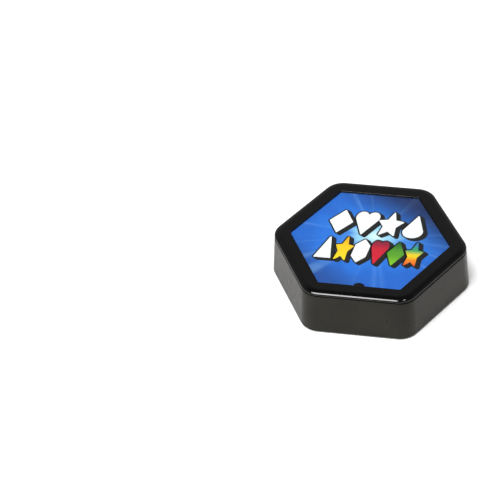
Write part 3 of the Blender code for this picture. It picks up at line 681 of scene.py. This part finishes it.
def wall_profile():
    """The wall's cross-section: out at the foot, rounded edges, and back down inside."""
    slope = (WALL_BOTTOM - WALL_TOP) / (SEAM_Z - FOOT_PROUD)
    fine = EDGE_ROUND
    foot = corner_arc((WALL_BOTTOM - slope * fine - fine, FOOT_PROUD + fine), (fine, fine), -90, 0)
    lip = corner_arc((WALL_TOP + slope * fine - fine, SEAM_Z - fine), (fine, fine), 0, 90)
    inner = 0.25 * MM
    ledge = corner_arc((WALL_TOP - WALL_THICK + inner, SEAM_Z - inner), (inner, inner), 90, 180)
    return foot + lip + ledge + [(WALL_BOTTOM - WALL_THICK, FOOT_PROUD)]


def make_housing(material):
    """The tapered side wall with its corner bosses, each tied to the wall by a rib."""
    profile = []
    for apothem, z in wall_profile():
        outer = WALL_TOP + (WALL_BOTTOM - WALL_TOP) * (SEAM_Z - z) / (SEAM_Z - FOOT_PROUD)
        profile.append((apothem, wall_radius(apothem, outer), z))
    wall = hexagonal("housing_shell", profile, closed=True)
    joined = []
    for angles, (radius, bottom, top) in ((GUIDE_ANGLES, GUIDE_BOSS), (SCREW_ANGLES, SCREW_BOSS)):
        for angle in angles:
            rib = block("rib", (CORNER_PLACE, -RIB_HALF, bottom), (RIB_REACH, RIB_HALF, top))
            rib.data.transform(Matrix.Rotation(math.radians(angle), 4, "Z"))
            joined += [cylinder("boss", at_angle(CORNER_PLACE, angle), radius, bottom, top), rib]
    fuse(wall, *joined)
    bores = at_corners("bore", GUIDE_ANGLES, GUIDE_BORE, GUIDE_BOSS[1] - MM, GUIDE_BOSS[2] + MM)
    bores += at_corners("bore", SCREW_ANGLES, SCREW_BORE[0], SCREW_BOSS[1] - MM, SCREW_BORE[1])
    cut(wall, *bores)
    finished(smooth(wall), material, "base_unit", "satin_housing", "housing")


def finished(obj, material, body, slot, *nodes):
    """Gives a piece its material and its body, and hides the CAD nodes that it stands for; its slot is not
    used.
    """
    obj.data.materials.clear()
    obj.data.materials.append(material)
    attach(obj, body)
    if nodes:
        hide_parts(*nodes)


# Cap


def key_outline(grow):
    """The tab at the front of the recess, or with growth the notch that clears it."""
    wide = KEY_WIDTH / 2 + grow
    tip = KEY_TIP / 2 + grow
    outer = -KEY_EDGE - MM
    inner = -KEY_EDGE + KEY_DEPTH + grow
    shoulder = inner - 0.55 * KEY_DEPTH
    return [(-wide, outer), (wide, outer), (wide, shoulder), (tip, inner), (-tip, inner), (-wide, shoulder)]


def opening_outline(angle):
    """One of the six light openings between the spokes of the floor."""
    turn = Matrix.Rotation(math.radians(angle), 2)
    corners = []
    for reach, side in ((HUB, -1), (HUB, 1), (OPENING_REACH, 1), (OPENING_REACH, -1)):
        across = side * (reach * math.tan(math.radians(30)) - HALF_SPOKE)
        corners.append(turn @ Vector((reach, across)))
    return corners


def rim_profile():
    """The cap's closed cross-section: skirt, step out, elliptical rim, bezel, recess wall, back under."""
    rim_bottom = SEAM_Z + SEAM_GAP
    lip = RIM_LIP
    profile = [(SKIRT_OUTER, wall_radius(SKIRT_OUTER), z) for z in (SKIRT_BOTTOM, rim_bottom)]
    below = corner_arc((RIM_EDGE - lip, rim_bottom + lip), (lip, lip), -90, 0)
    height = TOP_Z - rim_bottom - lip
    above = corner_arc((RIM_EDGE - RIM_REACH, rim_bottom + lip), (RIM_REACH, height), 0, 90, RIM_STEPS)
    profile += [(apothem, wall_radius(apothem, RIM_EDGE), z) for apothem, z in below + above[1:]]
    edge = 0.14 * MM
    mouth = corner_arc((RECESS + edge, TOP_Z - edge), (edge, edge), 90, 180)
    profile += [(apothem, SHEET_RADIUS + (apothem - RECESS), z) for apothem, z in mouth]
    profile += [
        (RECESS, SHEET_RADIUS, FLOOR_BOTTOM),
        (PAN_OUTER, PAN_RADIUS, FLOOR_BOTTOM),
        (PAN_OUTER, PAN_RADIUS, BEZEL_UNDER),
        (SKIRT_INNER, wall_radius(SKIRT_INNER), BEZEL_UNDER),
        (SKIRT_INNER, wall_radius(SKIRT_INNER), SKIRT_BOTTOM),
    ]
    return profile


def make_press_cap(material):
    """The bezel and rim with the window's floor, its six openings, and the posts on which it slides."""
    cap = hexagonal("cap_shell", rim_profile(), closed=True)
    joined = [hexagonal("floor", [(RECESS + OVERLAP, SHEET_RADIUS, z) for z in (FLOOR_BOTTOM, FLOOR_TOP)])]
    for angle in GUIDE_ANGLES:
        at = at_angle(CORNER_PLACE, angle)
        joined.append(cylinder("seat", at, SPRING_SEAT, FLOOR_BOTTOM, BEZEL_UNDER + OVERLAP / 2))
        joined.append(cylinder("post", at, POST_RADIUS, POST_BOTTOM, FLOOR_BOTTOM + OVERLAP))
    fuse(cap, *joined)
    cutters = []
    for side in range(6):
        outline = opening_outline(30 + 60 * side)
        cutters.append(prism("opening", outline, FLOOR_BOTTOM - MM, FLOOR_TOP + MM))
    cutters += at_corners("bore", GUIDE_ANGLES, POST_BORE[0], POST_BOTTOM - MM, POST_BORE[1])
    cut(cap, *cutters)
    fuse(cap, prism("key", key_outline(0.0), FLOOR_TOP - OVERLAP, TOP_Z - KEY_DROP))
    finished(smooth(cap), material, "cap", "gloss_cap", "press_cap")


def make_sheet(name, node, bevel, material, slot):
    """One of the flat sheets in the cap's recess, with a fine bevel and its notch."""
    bottom, top = low(node).z, high(node).z
    apothem = high(node).y
    steps = [(bevel, bottom), (0.0, bottom + bevel), (0.0, top - bevel), (bevel, top)]
    profile = [(apothem - inset, max(SHEET_RADIUS - inset, 0.05 * MM), z) for inset, z in steps]
    sheet = hexagonal(name, profile, steps=6)
    cut(sheet, prism("notch", key_outline(KEY_CLEAR), bottom - MM, top + MM))
    finished(smooth(sheet), material, "cap", slot, node)


# Printed shapes on the card

PRINT_THICK = 0.012 * MM
INK_ROUND = 0.35 * MM
LINE_WIDTH = 0.7 * MM
SHADOW = Vector((1.7 * MM, -1.2 * MM))
SHADOW_STEPS = 8
LEAN = 0.14  # how far a shape leans per height
UPPER_SHAPES = "diamond white, heart white, star white, drop white"
LOWER_SHAPES = "triangle white, star yellow, hexagon white, heart red, diamond green, star rainbow"
# Each row: y of its middle, first x, spacing, width and height of a shape, and its shapes with inks
ROWS = (
    (11.5 * MM, -15.0 * MM, 11.4 * MM, (11.0 * MM, 16.2 * MM), UPPER_SHAPES),
    (-7.9 * MM, -19.0 * MM, 8.0 * MM, (7.8 * MM, 16.0 * MM), LOWER_SHAPES),
)
INKS = {
    "white": ((0.0, srgb(222, 221, 224)), (1.0, srgb(234, 234, 236))),
    "yellow": ((0.0, srgb(232, 200, 0)), (0.6, srgb(228, 186, 0)), (1.0, srgb(218, 160, 10))),
    "red": ((0.0, srgb(198, 2, 38)), (0.55, srgb(190, 2, 38)), (1.0, srgb(122, 12, 48))),
    "green": ((0.0, srgb(120, 180, 14)), (0.5, srgb(78, 146, 26)), (1.0, srgb(22, 92, 38))),
    "rainbow": (
        (0.0, srgb(205, 44, 10)),
        (0.25, srgb(222, 118, 8)),
        (0.48, srgb(220, 190, 10)),
        (0.72, srgb(48, 148, 92)),
        (1.0, srgb(36, 110, 170)),
    ),
}


def polygon(sides):
    return [at_angle(0.5, 90 + 360 * i / sides) for i in range(sides)]


def star():
    return [at_angle(0.56 if i % 2 == 0 else 0.27, 90 + 36 * i) for i in range(10)]


def heart():
    """Two round shoulders that run down to a point."""
    turns = [math.radians(170 * step / 16 - 22) for step in range(17)]
    right = [(0.25 + 0.25 * math.cos(turn), 0.27 + 0.23 * math.sin(turn)) for turn in turns]
    return [(0.0, -0.5)] + right + [(0.0, 0.32)] + [(-x, y) for x, y in reversed(right)]


def drop():
    """A round foot that narrows to a point at the top."""
    foot = [at_angle(0.42, 150 + 240 * i / 24) for i in range(25)]
    return [(0.0, 0.5)] + [(x, y * 0.62 - 0.22) for x, y in foot]


SHAPES = {
    "star": star(),
    "heart": heart(),
    "hexagon": polygon(6),
    "drop": drop(),
    "diamond": polygon(4),
    "triangle": [(0.0, 0.5), (-0.5, -0.42), (0.5, -0.42)],
}


def grown(outline, by, steps=4):
    """A counterclockwise outline moved outward, with its outer corners rounded."""
    points = []
    for here, first, second in bends(outline):
        out_first = Vector((first.y, -first.x))
        out_second = Vector((second.y, -second.x))
        turn = first.cross(second)
        if turn > 1e-6:
            start = math.atan2(out_first.y, out_first.x)
            sweep = math.asin(min(1.0, turn))
            if first.dot(second) <= 0:
                sweep = math.pi - sweep
            for step in range(steps + 1):
                angle = start + sweep * step / steps
                points.append(here + by * Vector((math.cos(angle), math.sin(angle))))
        else:
            middle = (out_first + out_second).normalized()
            points.append(here + by * middle / max(0.3, middle.dot(out_first)))
    return points


def make_print():
    """Two rows of simple shapes, each in its ink over a black outline that runs into a drop shadow."""
    black = moulded("ink_black", srgb(14, 14, 16), 0.45, 0.3, 0.004)
    base = CARD_TOP + 0.002 * MM
    top = base + PRINT_THICK
    for row, (middle, first, spacing, (width, height), shapes) in enumerate(ROWS, 1):
        inks = {}
        for place, pair in enumerate(shapes.split(", ")):
            shape, color = pair.split()
            if color not in inks:
                name = f"ink_{color}_{row}"
                inks[color] = ink(name, middle - height / 2, middle + height / 2, INKS[color])
            centre = Vector((first + spacing * place, middle))
            drawn = []
            for x, y in SHAPES[shape]:
                up = y * (height - 2 * INK_ROUND)
                drawn.append(centre + Vector((x * (width - 2 * INK_ROUND) + LEAN * up, up)))
            edge = grown(drawn, INK_ROUND + LINE_WIDTH)
            shifts = [SHADOW * step / SHADOW_STEPS for step in range(SHADOW_STEPS + 1)]
            name = f"print_{row}_{place + 1}_{shape}"
            outline = slab(name + "_outline", [[p + shift for p in edge] for shift in shifts], base, top)
            finished(outline, black, "cap", "printed_card")
            fill = slab(name, [grown(drawn, INK_ROUND)], top, top + PRINT_THICK)
            finished(fill, inks[color], "cap", "printed_card")


# Underside


def battery_box_cutters():
    """The cells' hollow, the room round the door and its pins, and the slots for the contacts."""
    inner = BOX_X - BOX_WALL
    front, back = BOX_Y[0] + BOX_WALL, BOX_Y[1] - BOX_WALL
    below = FOOT_PROUD - MM
    above_door = FOOT_PROUD + DOOR_THICK + GAP
    tab = rectangle(-DOOR_TAB[0] / 2 - GAP, DOOR_TAB[1] - GAP, DOOR_TAB[0] / 2 + GAP, front + MM)
    hinge_y, hinge_z = hinge_line()
    bore = PIN_RADIUS + GAP
    reach = inner + PIN_REACH + GAP
    cutters = [
        block("hollow", (-inner, front, below), (inner, back, BOX_TOP - BOX_CEILING)),
        stacked("tab_room", tab, DOOR_ROUND + GAP, [(0.0, below), (0.0, above_door)]),
        rod("hinge_bore", -reach, reach, hinge_y, hinge_z, bore),
        block("hinge_mouth", (-reach, hinge_y - bore, below), (reach, hinge_y + bore, hinge_z)),
    ]
    slot, half = CONTACT_SLOT
    bottom, top = BOX_TOP - 2 * MM, BOX_TOP + MM
    for y in CELL_Y:
        for x0, x1 in ((slot, inner), (-inner, -slot)):
            cutters.append(block("contact_slot", (x0, y - half, bottom), (x1, y + half, top)))
    return cutters


def hinge_line():
    """The y and z of the battery door's pins."""
    return (BOX_Y[1] - BOX_WALL - GAP - DOOR_THICK / 2, FOOT_PROUD + DOOR_THICK / 2)


def stem_room():
    """The slot in which the power knob's stem slides."""
    wide = STEM[0] / 2 + GAP
    long = STEM[1] / 2 + GAP
    x, y = POWER_AT
    return rectangle(x - wide, y - long, x + wide, y + long + POWER_TRAVEL)


def pocket_cutters():
    """The grille, the feet's and screws' pockets, the power knob's dish and the bores of the standoffs."""
    through = PLATE_TOP + MM
    cutters = []
    for count, reach in GRILLE_RINGS:
        for hole in range(count):
            x, y = at_angle(reach, 360 * hole / count)
            at = (SPEAKER_AT[0] + x, SPEAKER_AT[1] + y)
            cutters.append(sink("grille", at, GRILLE_HOLE, through, GRILLE_EDGE, 20))
    for angle in GUIDE_ANGLES:
        at = at_angle(FOOT_PLACE, angle)
        cutters.append(sink("foot_pocket", at, FOOT_RADIUS + GAP, FOOT_PROUD + MM, POCKET_EDGE))
    radius, depth = HEAD_POCKET
    for angle in SCREW_ANGLES:
        at = at_angle(CORNER_PLACE, angle)
        cutters.append(sink("head_pocket", at, radius, FOOT_PROUD + depth, POCKET_EDGE))
        cutters.append(cylinder("plate_bore", at, BASE_SHANK + GAP, FOOT_PROUD, through))
    for at in BOARD_SCREWS:
        cutters.append(cylinder("standoff_bore", at, STANDOFF[1], STANDOFF[2], high("base_plate").z + MM))
    x, y = POWER_AT
    half, depth = DISH
    dish = rectangle(x - half, y - half, x + half, y + half + POWER_TRAVEL)
    levels = [(-0.2 * MM, FOOT_PROUD - 0.4 * MM), (0.4 * MM, FOOT_PROUD + depth)]
    cutters.append(stacked("dish", dish, MM, levels))
    cutters.append(stacked("stem_slot", stem_room(), 0.5 * MM, [(0.0, FOOT_PROUD - MM), (0.0, through)]))
    return cutters


def make_base_shell(material):
    """The base plate with its battery box, standoffs and speaker ring, and soft mouths on its pockets."""
    radius = CORNER_RADIUS - WALL_THICK - GAP
    levels = edge_levels(FOOT_PROUD, PLATE_TOP, PLATE_EDGE)
    shell = hexagonal("base_shell", [(PLATE_APOTHEM - inset, radius - inset, z) for inset, z in levels])
    inside = FOOT_PROUD + MM
    inner, outer, rise = SPEAKER_RING
    joined = [block("battery_box", (-BOX_X, BOX_Y[0], inside), (BOX_X, BOX_Y[1], BOX_TOP))]
    joined.append(tube("speaker_ring", SPEAKER_AT, inner, outer, inside, PLATE_TOP + rise))
    joined += [cylinder("standoff", at, STANDOFF[0], inside, high("base_plate").z) for at in BOARD_SCREWS]
    fuse(shell, *joined)
    cut(shell, *battery_box_cutters())
    above_door = FOOT_PROUD + DOOR_THICK + GAP
    fuse(shell, cylinder("door_boss", DOOR_SCREW_AT, DOOR_BOSS[0], above_door, DOOR_BOSS[1]))
    bore = cylinder("door_bore", DOOR_SCREW_AT, DOOR_BORE[0], above_door - MM, DOOR_BORE[1])
    cut(shell, bore, *pocket_cutters())
    finished(smooth(shell), material, "base_unit", "satin_housing", "base_plate")


def make_door_shell(material):
    """The battery door: round at its hinge, with a tab, two pins, a screw pocket and finger grooves."""
    hinge_y, hinge_z = hinge_line()
    half = BOX_X - BOX_WALL - GAP
    front = BOX_Y[0] + BOX_WALL + GAP
    back = hinge_y + DOOR_EDGE
    tab, tip = DOOR_TAB[0] / 2, DOOR_TAB[1]
    corners = [(-half, back), (-half, front), (-tab, front), (-tab, tip), (tab, tip), (tab, front)]
    corners += [(half, front), (half, back)]
    top = FOOT_PROUD + DOOR_THICK
    door = stacked("door_shell", corners, DOOR_ROUND, edge_levels(FOOT_PROUD, top, DOOR_EDGE))
    reach = BOX_X - BOX_WALL + PIN_REACH
    fuse(
        door,
        rod("hinge_edge", -half, half, hinge_y, hinge_z, DOOR_THICK / 2, 32),
        rod("pins", -reach, reach, hinge_y, hinge_z, PIN_RADIUS),
    )
    cutters = [
        sink("pocket", DOOR_SCREW_AT, DOOR_POCKET, FOOT_PROUD + MM, POCKET_EDGE),
        cylinder("bore", DOOR_SCREW_AT, DOOR_SHANK + GAP, FOOT_PROUD, top + MM),
    ]
    levels = [(-0.1 * MM, FOOT_PROUD - 0.2 * MM), (0.2 * MM, FOOT_PROUD + 0.4 * MM)]
    for groove in range(GROOVES):
        long = GROOVE_LONG[0] - GROOVE_LONG[1] * groove
        y = GROOVE_AT[0] + GROOVE_AT[1] * groove
        outline = rectangle(-long, y - GROOVE_WIDE, long, y + GROOVE_WIDE)
        cutters.append(stacked("groove", outline, GROOVE_WIDE - 0.01 * MM, levels))
    cut(door, *cutters)
    finished(smooth(door), material, "battery_hatch", "satin_housing", "battery_door")


# A pan head's outline: shares of its radius and of its height
PAN_HEAD = ((0.3, 0.0), (0.62, 0.07), (0.84, 0.22), (0.96, 0.42), (1.0, 0.62), (1.0, 0.92), (0.96, 1.0))


def make_screw(name, node, head, shank, turn, material, body):
    """A pan head with a cross recess, over a shank with a rolled thread and a blunt point."""
    at = axis_place(node)
    radius, height = head
    bottom, top = low(node).z, high(node).z
    under = bottom + height
    profile = [(radius * out, bottom + height * up) for out, up in PAN_HEAD]
    pitch = 0.5 * MM
    count = int((top - under - shank) / pitch)
    for ridge in range(count):
        profile.append((0.8 * shank, under + pitch * (ridge + 0.1)))
        profile.append((shank, under + pitch * (ridge + 0.6)))
    profile += [(0.8 * shank, under + pitch * (count + 0.1)), (0.35 * shank, top)]
    screw = lathe(name, profile, at, 32)
    wide, long = 0.17 * radius, 0.68 * radius
    plus = []
    for quarter in range(4):
        spin = Matrix.Rotation(math.radians(90 * quarter + turn), 2)
        plus += [spin @ Vector(point) + Vector(at) for point in ((long, -wide), (long, wide), (wide, wide))]
    recess = prism("recess", plus, bottom - MM, bottom + 0.75 * height)
    funnel = [(0.46 * radius, bottom - 0.1 * MM), (0.2 * radius, bottom + 0.9 * height)]
    centre = lathe("centre", funnel, at, 16)
    cut(screw, recess, centre)
    finished(smooth(screw), material, body, "steel", node)


def make_foot(number, material):
    """A stick-on rubber foot with a rounded rim and a shallow dish in the face that it stands on."""
    node = f"rubber_foot_{number}"
    bottom = low(node).z
    dish = 0.16 * MM
    profile = [(0.2 * MM, bottom + dish), (0.6 * FOOT_RADIUS, bottom + dish)]
    profile += [(0.7 * FOOT_RADIUS, bottom + 0.03 * MM), (0.74 * FOOT_RADIUS, bottom)]
    rim = 0.5 * MM
    profile += corner_arc((FOOT_RADIUS - rim, bottom + rim), (rim, rim), -90, 0, 6)
    profile.append((FOOT_RADIUS, high(node).z))
    foot = lathe(f"foot_pad_{number}", profile, axis_place(node))
    finished(smooth(foot), material, "base_unit", "rubber_foot", node)


def make_knob(material):
    """The power knob: a ribbed stem on a flange that slides on the plate."""
    x, y = POWER_AT
    bottom, top = low("power_switch_knob").z, high("power_switch_knob").z
    wide, long = STEM[0] / 2, STEM[1] / 2
    corners = rectangle(x - wide, y - long, x + wide, y + long)
    knob = stacked("power_slider_knob", corners, 0.35 * MM, edge_levels(bottom, top, 0.2 * MM))
    half, length, thick = FLANGE
    flange = rectangle(x - half, y - length, x + half, y + length)
    levels = [(0.0, PLATE_TOP + GAP), (0.0, PLATE_TOP + GAP + thick)]
    fuse(knob, stacked("flange", flange, 0.5 * MM, levels))
    for place in KNOB_RIBS:
        start = (x - MM, y + place - RIB_GAP, bottom - MM)
        end = (x + MM, y + place + RIB_GAP, bottom + 0.3 * MM)
        cut(knob, block("rib_gap", start, end))
    finished(smooth(knob), material, "power_slider", "dark_plastic", "power_switch_knob")


def make_cell(number, way, wrap, metal):
    """A cell in its shrunk wrap, with a metal cap and nub at one end and a metal disc at the other."""
    node = f"battery_{number}"
    lowest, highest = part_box(node)
    radius = (highest.y - lowest.y) / 2
    length = highest.x - lowest.x
    shoulder = length - NUB[1]
    curl = 0.4 * MM
    sleeve = [(radius - MM, 0.12 * MM)]
    sleeve += corner_arc((radius - curl, curl + 0.05 * MM), (curl, curl), -90, 0)
    sleeve += corner_arc((radius - curl, shoulder - curl - 0.05 * MM), (curl, curl), 0, 90)
    sleeve.append((radius - MM, shoulder - 0.12 * MM))
    disc = radius - 1.1 * MM
    foot = [(disc - 0.3 * MM, 0.0), (disc, 0.08 * MM), (disc, 0.3 * MM)]
    cap = [(disc, shoulder - 0.3 * MM), (disc, shoulder - 0.1 * MM), (NUB[0] + 0.3 * MM, shoulder)]
    cap += [(NUB[0], shoulder + 0.15 * MM), (NUB[0], length - 0.2 * MM), (NUB[0] - 0.2 * MM, length)]
    start = lowest.x if way > 0 else highest.x
    place = Matrix.Translation((start, CELL_Y[number - 1], (lowest.z + highest.z) / 2))
    turned = place @ Matrix.Rotation(math.radians(90 * way), 4, "Y")
    pieces = (
        (sleeve, "wrap", wrap, "cell_wrap", (node,)),
        (foot, "foot", metal, "nickel", ()),
        (cap, "cap", metal, "nickel", ()),
    )
    for profile, part, material, slot, nodes in pieces:
        piece = smooth(lathe(f"cell_{number}_{part}", profile))
        piece.matrix_world = turned
        finished(piece, material, "base_unit", slot, *nodes)


def make_return_spring(number, material):
    """A coil of round wire that is squashed between the base and the cap as the cap goes down."""
    node = f"return_spring_{number}"
    middle = Vector(axis_place(node))
    bottom = low(node).z
    height = high(node).z - bottom
    rise = height - 2 * SPRING_WIRE
    points = []
    steps = SPRING_TURNS * 24
    for step in range(steps + 1):
        share = step / steps
        flattened = share - SPRING_FLATNESS * math.sin(2 * math.pi * share) / (2 * math.pi)
        x, y = at_angle(SPRING_RADIUS, 360 * SPRING_TURNS * share)
        points.append((middle.x + x, middle.y + y, bottom + SPRING_WIRE + rise * flattened))
    spring = smooth(wire(f"spring_coil_{number}", points, SPRING_WIRE))
    finished(spring, material, "base_unit", "steel", node)
    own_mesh(spring)


def make_underside(materials):
    make_base_shell(materials["satin_housing"])
    make_door_shell(materials["satin_housing"])
    steel = materials["steel"]
    for number, turn in enumerate(SCREW_TURNS, 1):
        name = f"plate_screw_{number}"
        make_screw(name, f"base_screw_{number}", BASE_HEAD, BASE_SHANK, turn, steel, "base_unit")
    make_screw(
        "door_screw", "battery_door_screw", DOOR_HEAD, DOOR_SHANK, DOOR_SCREW_TURN, steel, "battery_hatch"
    )
    for number in (1, 2, 3):
        make_foot(number, materials["rubber_foot"])
        make_return_spring(number, steel)
    make_knob(materials["dark_plastic"])
    for number, way in ((1, 1), (2, -1)):
        make_cell(number, way, materials["cell_wrap"], materials["nickel"])


# The finish of each material slot

MOULDED = {  # display colour, roughness, size and depth of the grain in millimetres, unevenness
    "milky_diffuser": ((236, 238, 238), 0.45, 0.2, 0.004, 0.02),
    "board": ((22, 92, 48), 0.35, 0.35, 0.01, 0.2),
    "dark_plastic": ((34, 34, 35), 0.55, 0.12, 0.006, 0.12),
    "white_plastic": ((232, 231, 226), 0.45, 0.15, 0.004, 0.03),
    "rubber_foot": ((30, 30, 31), 0.85, 0.2, 0.02, 0.2),
    "paper_cone": ((62, 60, 56), 0.85, 0.25, 0.03, 0.2),
    "red_lead": ((190, 24, 28), 0.4, 0.2, 0.004, 0.12),
    "black_lead": ((26, 26, 27), 0.4, 0.2, 0.004, 0.12),
}


def slot_materials():
    materials = {
        "satin_housing": satin_black(),
        "gloss_cap": gloss_black(),
        "clear_window": clear_plastic(),
        "printed_card": printed_panel(),
        "cell_wrap": wrapped_cell(),
        "steel": moulded("steel", (0.62, 0.61, 0.6, 1), 0.3, 0.1, 0.003, 0.08, 1.0, (1, 0.08, 1)),
        "nickel": moulded("nickel", (0.72, 0.7, 0.66, 1), 0.22, 0.1, 0.002, 0.06, 1.0),
    }
    for slot, (color, *finish) in MOULDED.items():
        materials[slot] = moulded(slot, srgb(*color), *finish)
    return materials


# Camera, light and floor

CAMERA_PLACE = (0.10677, -0.65024, 0.59839)
CAMERA_TURN = (48.612, 3.237, 11.277)  # degrees about X, Y and Z
LENS = 137.0
LIGHTS = (  # name, direction that it comes from, strength, degrees across, whether gloss mirrors it
    ("key", (-0.24, -0.27, 0.93), 3.2, 30, True),
    ("glint", (0.28, -0.07, 0.96), 0.3, 7, True),
    ("fill", (-0.04, -0.1, 0.99), 1.6, 130, False),
)
STUDIO = ((0.0, 0.42), (0.68, 0.19), (0.85, 0.03))  # height of a direction, and how bright it is there
FLOOR_RADIUS = 6.0


def make_camera():
    camera = bpy.data.objects.new("camera", bpy.data.cameras.new("camera"))
    camera.location = CAMERA_PLACE
    camera.rotation_euler = [math.radians(turn) for turn in CAMERA_TURN]
    camera.data.lens = LENS
    camera.data.clip_start = 0.01
    bpy.context.scene.collection.objects.link(camera)
    bpy.context.scene.camera = camera


def make_lights():
    """A soft key from the front left overhead, a small glint, and a wide fill that gloss doesn't mirror."""
    for name, direction, strength, across, mirrored in LIGHTS:
        lamp = bpy.data.lights.new(name, "SUN")
        lamp.energy = strength
        lamp.angle = math.radians(across)
        light = bpy.data.objects.new(name, lamp)
        light.rotation_euler = Vector(direction).to_track_quat("Z", "Y").to_euler()
        light.visible_glossy = mirrored
        bpy.context.scene.collection.objects.link(light)


def make_world():
    """A dim studio for light and reflections, darkest overhead, in front of a pale backdrop."""
    world = bpy.data.worlds.new("studio")
    world.use_nodes = True
    tree = world.node_tree
    place = tree.nodes.new("ShaderNodeTexCoord")
    parts = tree.nodes.new("ShaderNodeSeparateXYZ")
    ramp = tree.nodes.new("ShaderNodeValToRGB")
    elements = ramp.color_ramp.elements
    elements.new(0.5)
    for element, (height, grey) in zip(elements, STUDIO):
        element.position = height
        element.color = (grey, grey, grey, 1)
    path = tree.nodes.new("ShaderNodeLightPath")
    mix = tree.nodes.new("ShaderNodeMix")
    mix.data_type = "RGBA"
    mix.inputs[7].default_value = (1.0, 1.0, 1.0, 1)
    tree.links.new(place.outputs["Generated"], parts.inputs[0])
    tree.links.new(parts.outputs["Z"], ramp.inputs["Fac"])
    tree.links.new(path.outputs["Is Camera Ray"], mix.inputs[0])
    tree.links.new(ramp.outputs["Color"], mix.inputs[6])
    tree.links.new(mix.outputs[2], tree.nodes["Background"].inputs["Color"])
    bpy.context.scene.world = world


def make_floor():
    bm = bmesh.new()
    bmesh.ops.create_circle(bm, cap_ends=True, segments=64, radius=FLOOR_RADIUS)
    floor = made("floor", bm)
    nodes = Nodes("floor")
    nodes.set(base_color=(0.9, 0.9, 0.9, 1), roughness=0.9)
    floor.data.materials.append(nodes.material)


def main():
    bpy.context.scene.view_settings.view_transform = "Standard"
    make_camera()
    make_lights()
    make_world()
    make_floor()
    materials = slot_materials()
    make_housing(materials["satin_housing"])
    make_press_cap(materials["gloss_cap"])
    make_sheet("window_sheet", "clear_window", 0.1 * MM, materials["clear_window"], "clear_window")
    make_sheet("card_sheet", "label_card", 0.02 * MM, materials["printed_card"], "printed_card")
    make_print()
    make_underside(materials)
    for part in frame["record"]["subparts"]:
        node = frame["nodes"][part["node"]]
        node.data.materials.clear()
        node.data.materials.append(materials[part["material_slot"]])


main()
